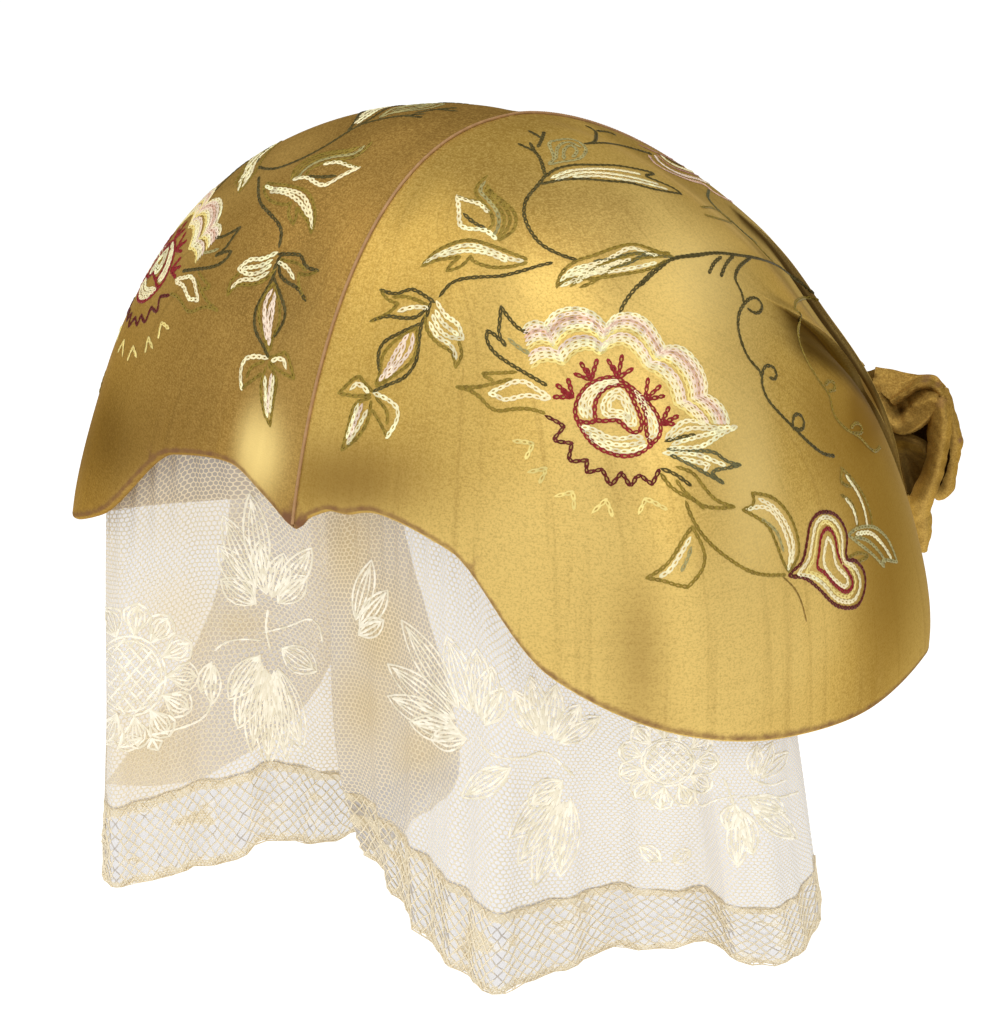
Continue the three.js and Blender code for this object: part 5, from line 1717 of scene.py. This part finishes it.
def leaf_lines(base, tip, width, full=1.0, start=LEAF_START):
    """Rows of thread that fill one leaf: the two outer ones bulge most, and all meet at its base and tip.
    full moves its widest place towards the tip, and start leaves out a share of its length at the base."""
    base, tip = np.array(base, float), np.array(tip, float)
    base = base + (tip - base) * start
    side = np.array([-(tip - base)[1], (tip - base)[0]]) / max(np.linalg.norm(tip - base), 1)
    rows = max(int(round(width / LEAF_ROW_GAP)), 2)
    lines = []
    s = np.linspace(0, 1, 14)[:, None]
    for k in range(rows + 1):
        bulge = (k / rows - 0.5) * width
        stop = 1.0 if k in (0, rows) else 0.93 - 0.04 * (k % 2)
        lines.append(base + (tip - base) * s * stop + side * bulge * np.sin(np.pi * s**full) ** 0.8)
    return lines


def ring_line(middle, across, up):
    turn = np.linspace(0, 2 * np.pi, 40)
    return np.stack([middle[0] + across * np.cos(turn), middle[1] + up * np.sin(turn)], 1)


def flower_lines(middle, across, up, petals, reach):
    """Two rings, a lattice inside them, and looped petals round them."""
    lines = [ring_line(middle, across, up), ring_line(middle, across * 0.88, up * 0.88)]
    for slant in (-1, 1):
        for step in np.linspace(-0.75, 0.75, 7):
            half = math.sqrt(1 - step * step) * 0.86
            along = np.array([math.cos(0.8), slant * math.sin(0.8)])
            out = np.array([-along[1], along[0]])
            ends = [np.array(middle) + (along * t * half + out * step) * [across, up] for t in (-1, 1)]
            lines.append(np.linspace(ends[0], ends[1], 8))
    for k in range(petals):
        turn = 2 * np.pi * k / petals
        way = np.array([np.cos(turn), np.sin(turn)])
        root = np.array(middle) + way * [across, up] * 1.02
        tip = np.array(middle) + way * [across + reach, up + reach]
        wide = 2 * np.pi * ((across + up) / 2 + reach * 0.62) / petals
        lines.extend(leaf_lines(root, tip, wide, PETAL_FULL, 0.0))
    return lines


# %% One running stitch, and its copies on the net
def model_run():
    drop_selection()
    bpy.ops.mesh.primitive_uv_sphere_add(segments=6, ring_count=4, radius=0.5)
    run = bpy.context.object
    run.name = "run_model"
    bpy.ops.object.mode_set(mode="EDIT")
    bpy.ops.mesh.select_all(action="SELECT")
    bpy.ops.transform.rotate(value=math.pi / 2, orient_axis="Y", center_override=(0, 0, 0))
    bpy.ops.transform.resize(value=(1.15, 1, 0.55), center_override=(0, 0, 0))
    bpy.ops.mesh.tris_convert_to_quads()
    bpy.ops.mesh.quads_convert_to_tris()
    bpy.ops.object.mode_set(mode="OBJECT")
    return run


run_model = model_run()
net_surface = surface_of(net)
net_lines = [through_points(stem, "smooth") for stem in NET_STEMS]
for spray in SPRAYS:
    for tip in spray["tips"]:
        net_lines.extend(leaf_lines(spray["base"], tip, spray["width"]))
for flower in NET_FLOWERS:
    net_lines.extend(flower_lines(**flower))
rows = []
for line in net_lines:
    places, ways = lay_along_rays(through_points([tuple(p) for p in line], "sharp", 1.5), net_surface)
    if len(places) < 3:
        continue
    jumps = np.linalg.norm(np.diff(places, axis=0), axis=1)
    for part in np.split(np.arange(len(places)), np.where(jumps > FOLD_JUMP)[0] + 1):
        if len(part) < 3:
            continue
        toward = np.sign((ways[part] * (CAMERA_PLACE - places[part])).sum(1))[:, None]
        rows.append(stitch_places(places[part], ways[part] * toward, RUN_LENGTH))
starts, ends, outs = (np.concatenate(column) for column in zip(*rows))
widths = RUN_WIDTH * (0.8 + 0.5 * rng.random(len(starts)))
net_flowers = copies("net_flowers", run_model, starts, ends, outs, widths)
flower_thread, n, shader = new_material("flower_thread")
tone = n.add("ShaderNodeAttribute", attribute_name="tone")
flower_tone = n.mix(tone.outputs["Fac"], rgb(220, 211, 186), rgb(246, 239, 221))
make_matte(n, shader, flower_tone, FLOWER_GLOW)
dress(net_flowers, flower_thread)
bpy.data.objects.remove(run_model)
print("net flowers", len(starts), "stitches,", triangle_count(net_flowers), "triangles")

# %% [markdown]
# ## Floor and light
# A plain pale floor lies under the bonnet, and five broad lamps and a pale sky light it softly.

# %% Floor, lamps, sky
FLOOR_SIZE = 12
FLOOR_HEIGHT = -0.30
FLOOR_GLOW = 0.68
SKY_LIGHT = 0.22


def make_floor():
    drop_selection()
    bpy.ops.mesh.primitive_plane_add(size=FLOOR_SIZE, location=(0, 0, FLOOR_HEIGHT))
    floor = bpy.context.object
    floor.name = "floor"
    material, _, shader = new_material("floor")
    shader.inputs["Base Color"].default_value = (0.95, 0.95, 0.95, 1)
    shader.inputs["Roughness"].default_value = 0.95
    shader.inputs["Specular IOR Level"].default_value = 0.0
    shader.inputs["Emission Color"].default_value = (1, 1, 1, 1)
    shader.inputs["Emission Strength"].default_value = FLOOR_GLOW
    floor.data.materials.append(material)


def add_lamp(name, place, size, power, aim=(0, 0.03, 0.02)):
    lamp = bpy.data.lights.new(name, "AREA")
    lamp.shape = "RECTANGLE"
    lamp.size, lamp.size_y = size
    lamp.energy = power
    holder = bpy.data.objects.new(name, lamp)
    holder.location = place
    holder.rotation_euler = (Vector(aim) - Vector(place)).to_track_quat("-Z", "Y").to_euler()
    bpy.context.scene.collection.objects.link(holder)


make_floor()
add_lamp("top", (0.05, -0.30, 1.20), (0.50, 0.40), 5.0)
add_lamp("left", (-0.90, -0.70, 0.90), (0.50, 0.50), 4.2)
add_lamp("front", (0.10, -1.10, 0.80), (0.60, 0.50), 2.8)
add_lamp("behind", (0.60, 0.55, 1.00), (0.60, 0.60), 2.4)
add_lamp("beside", (0.98, -0.46, 0.80), (0.50, 0.50), 5.0)
world = bpy.data.worlds.new("sky")
bpy.context.scene.world = world
world.use_nodes = True
sky = world.node_tree.nodes["Background"]
sky.inputs["Color"].default_value = (1, 1, 1, 1)
sky.inputs["Strength"].default_value = SKY_LIGHT
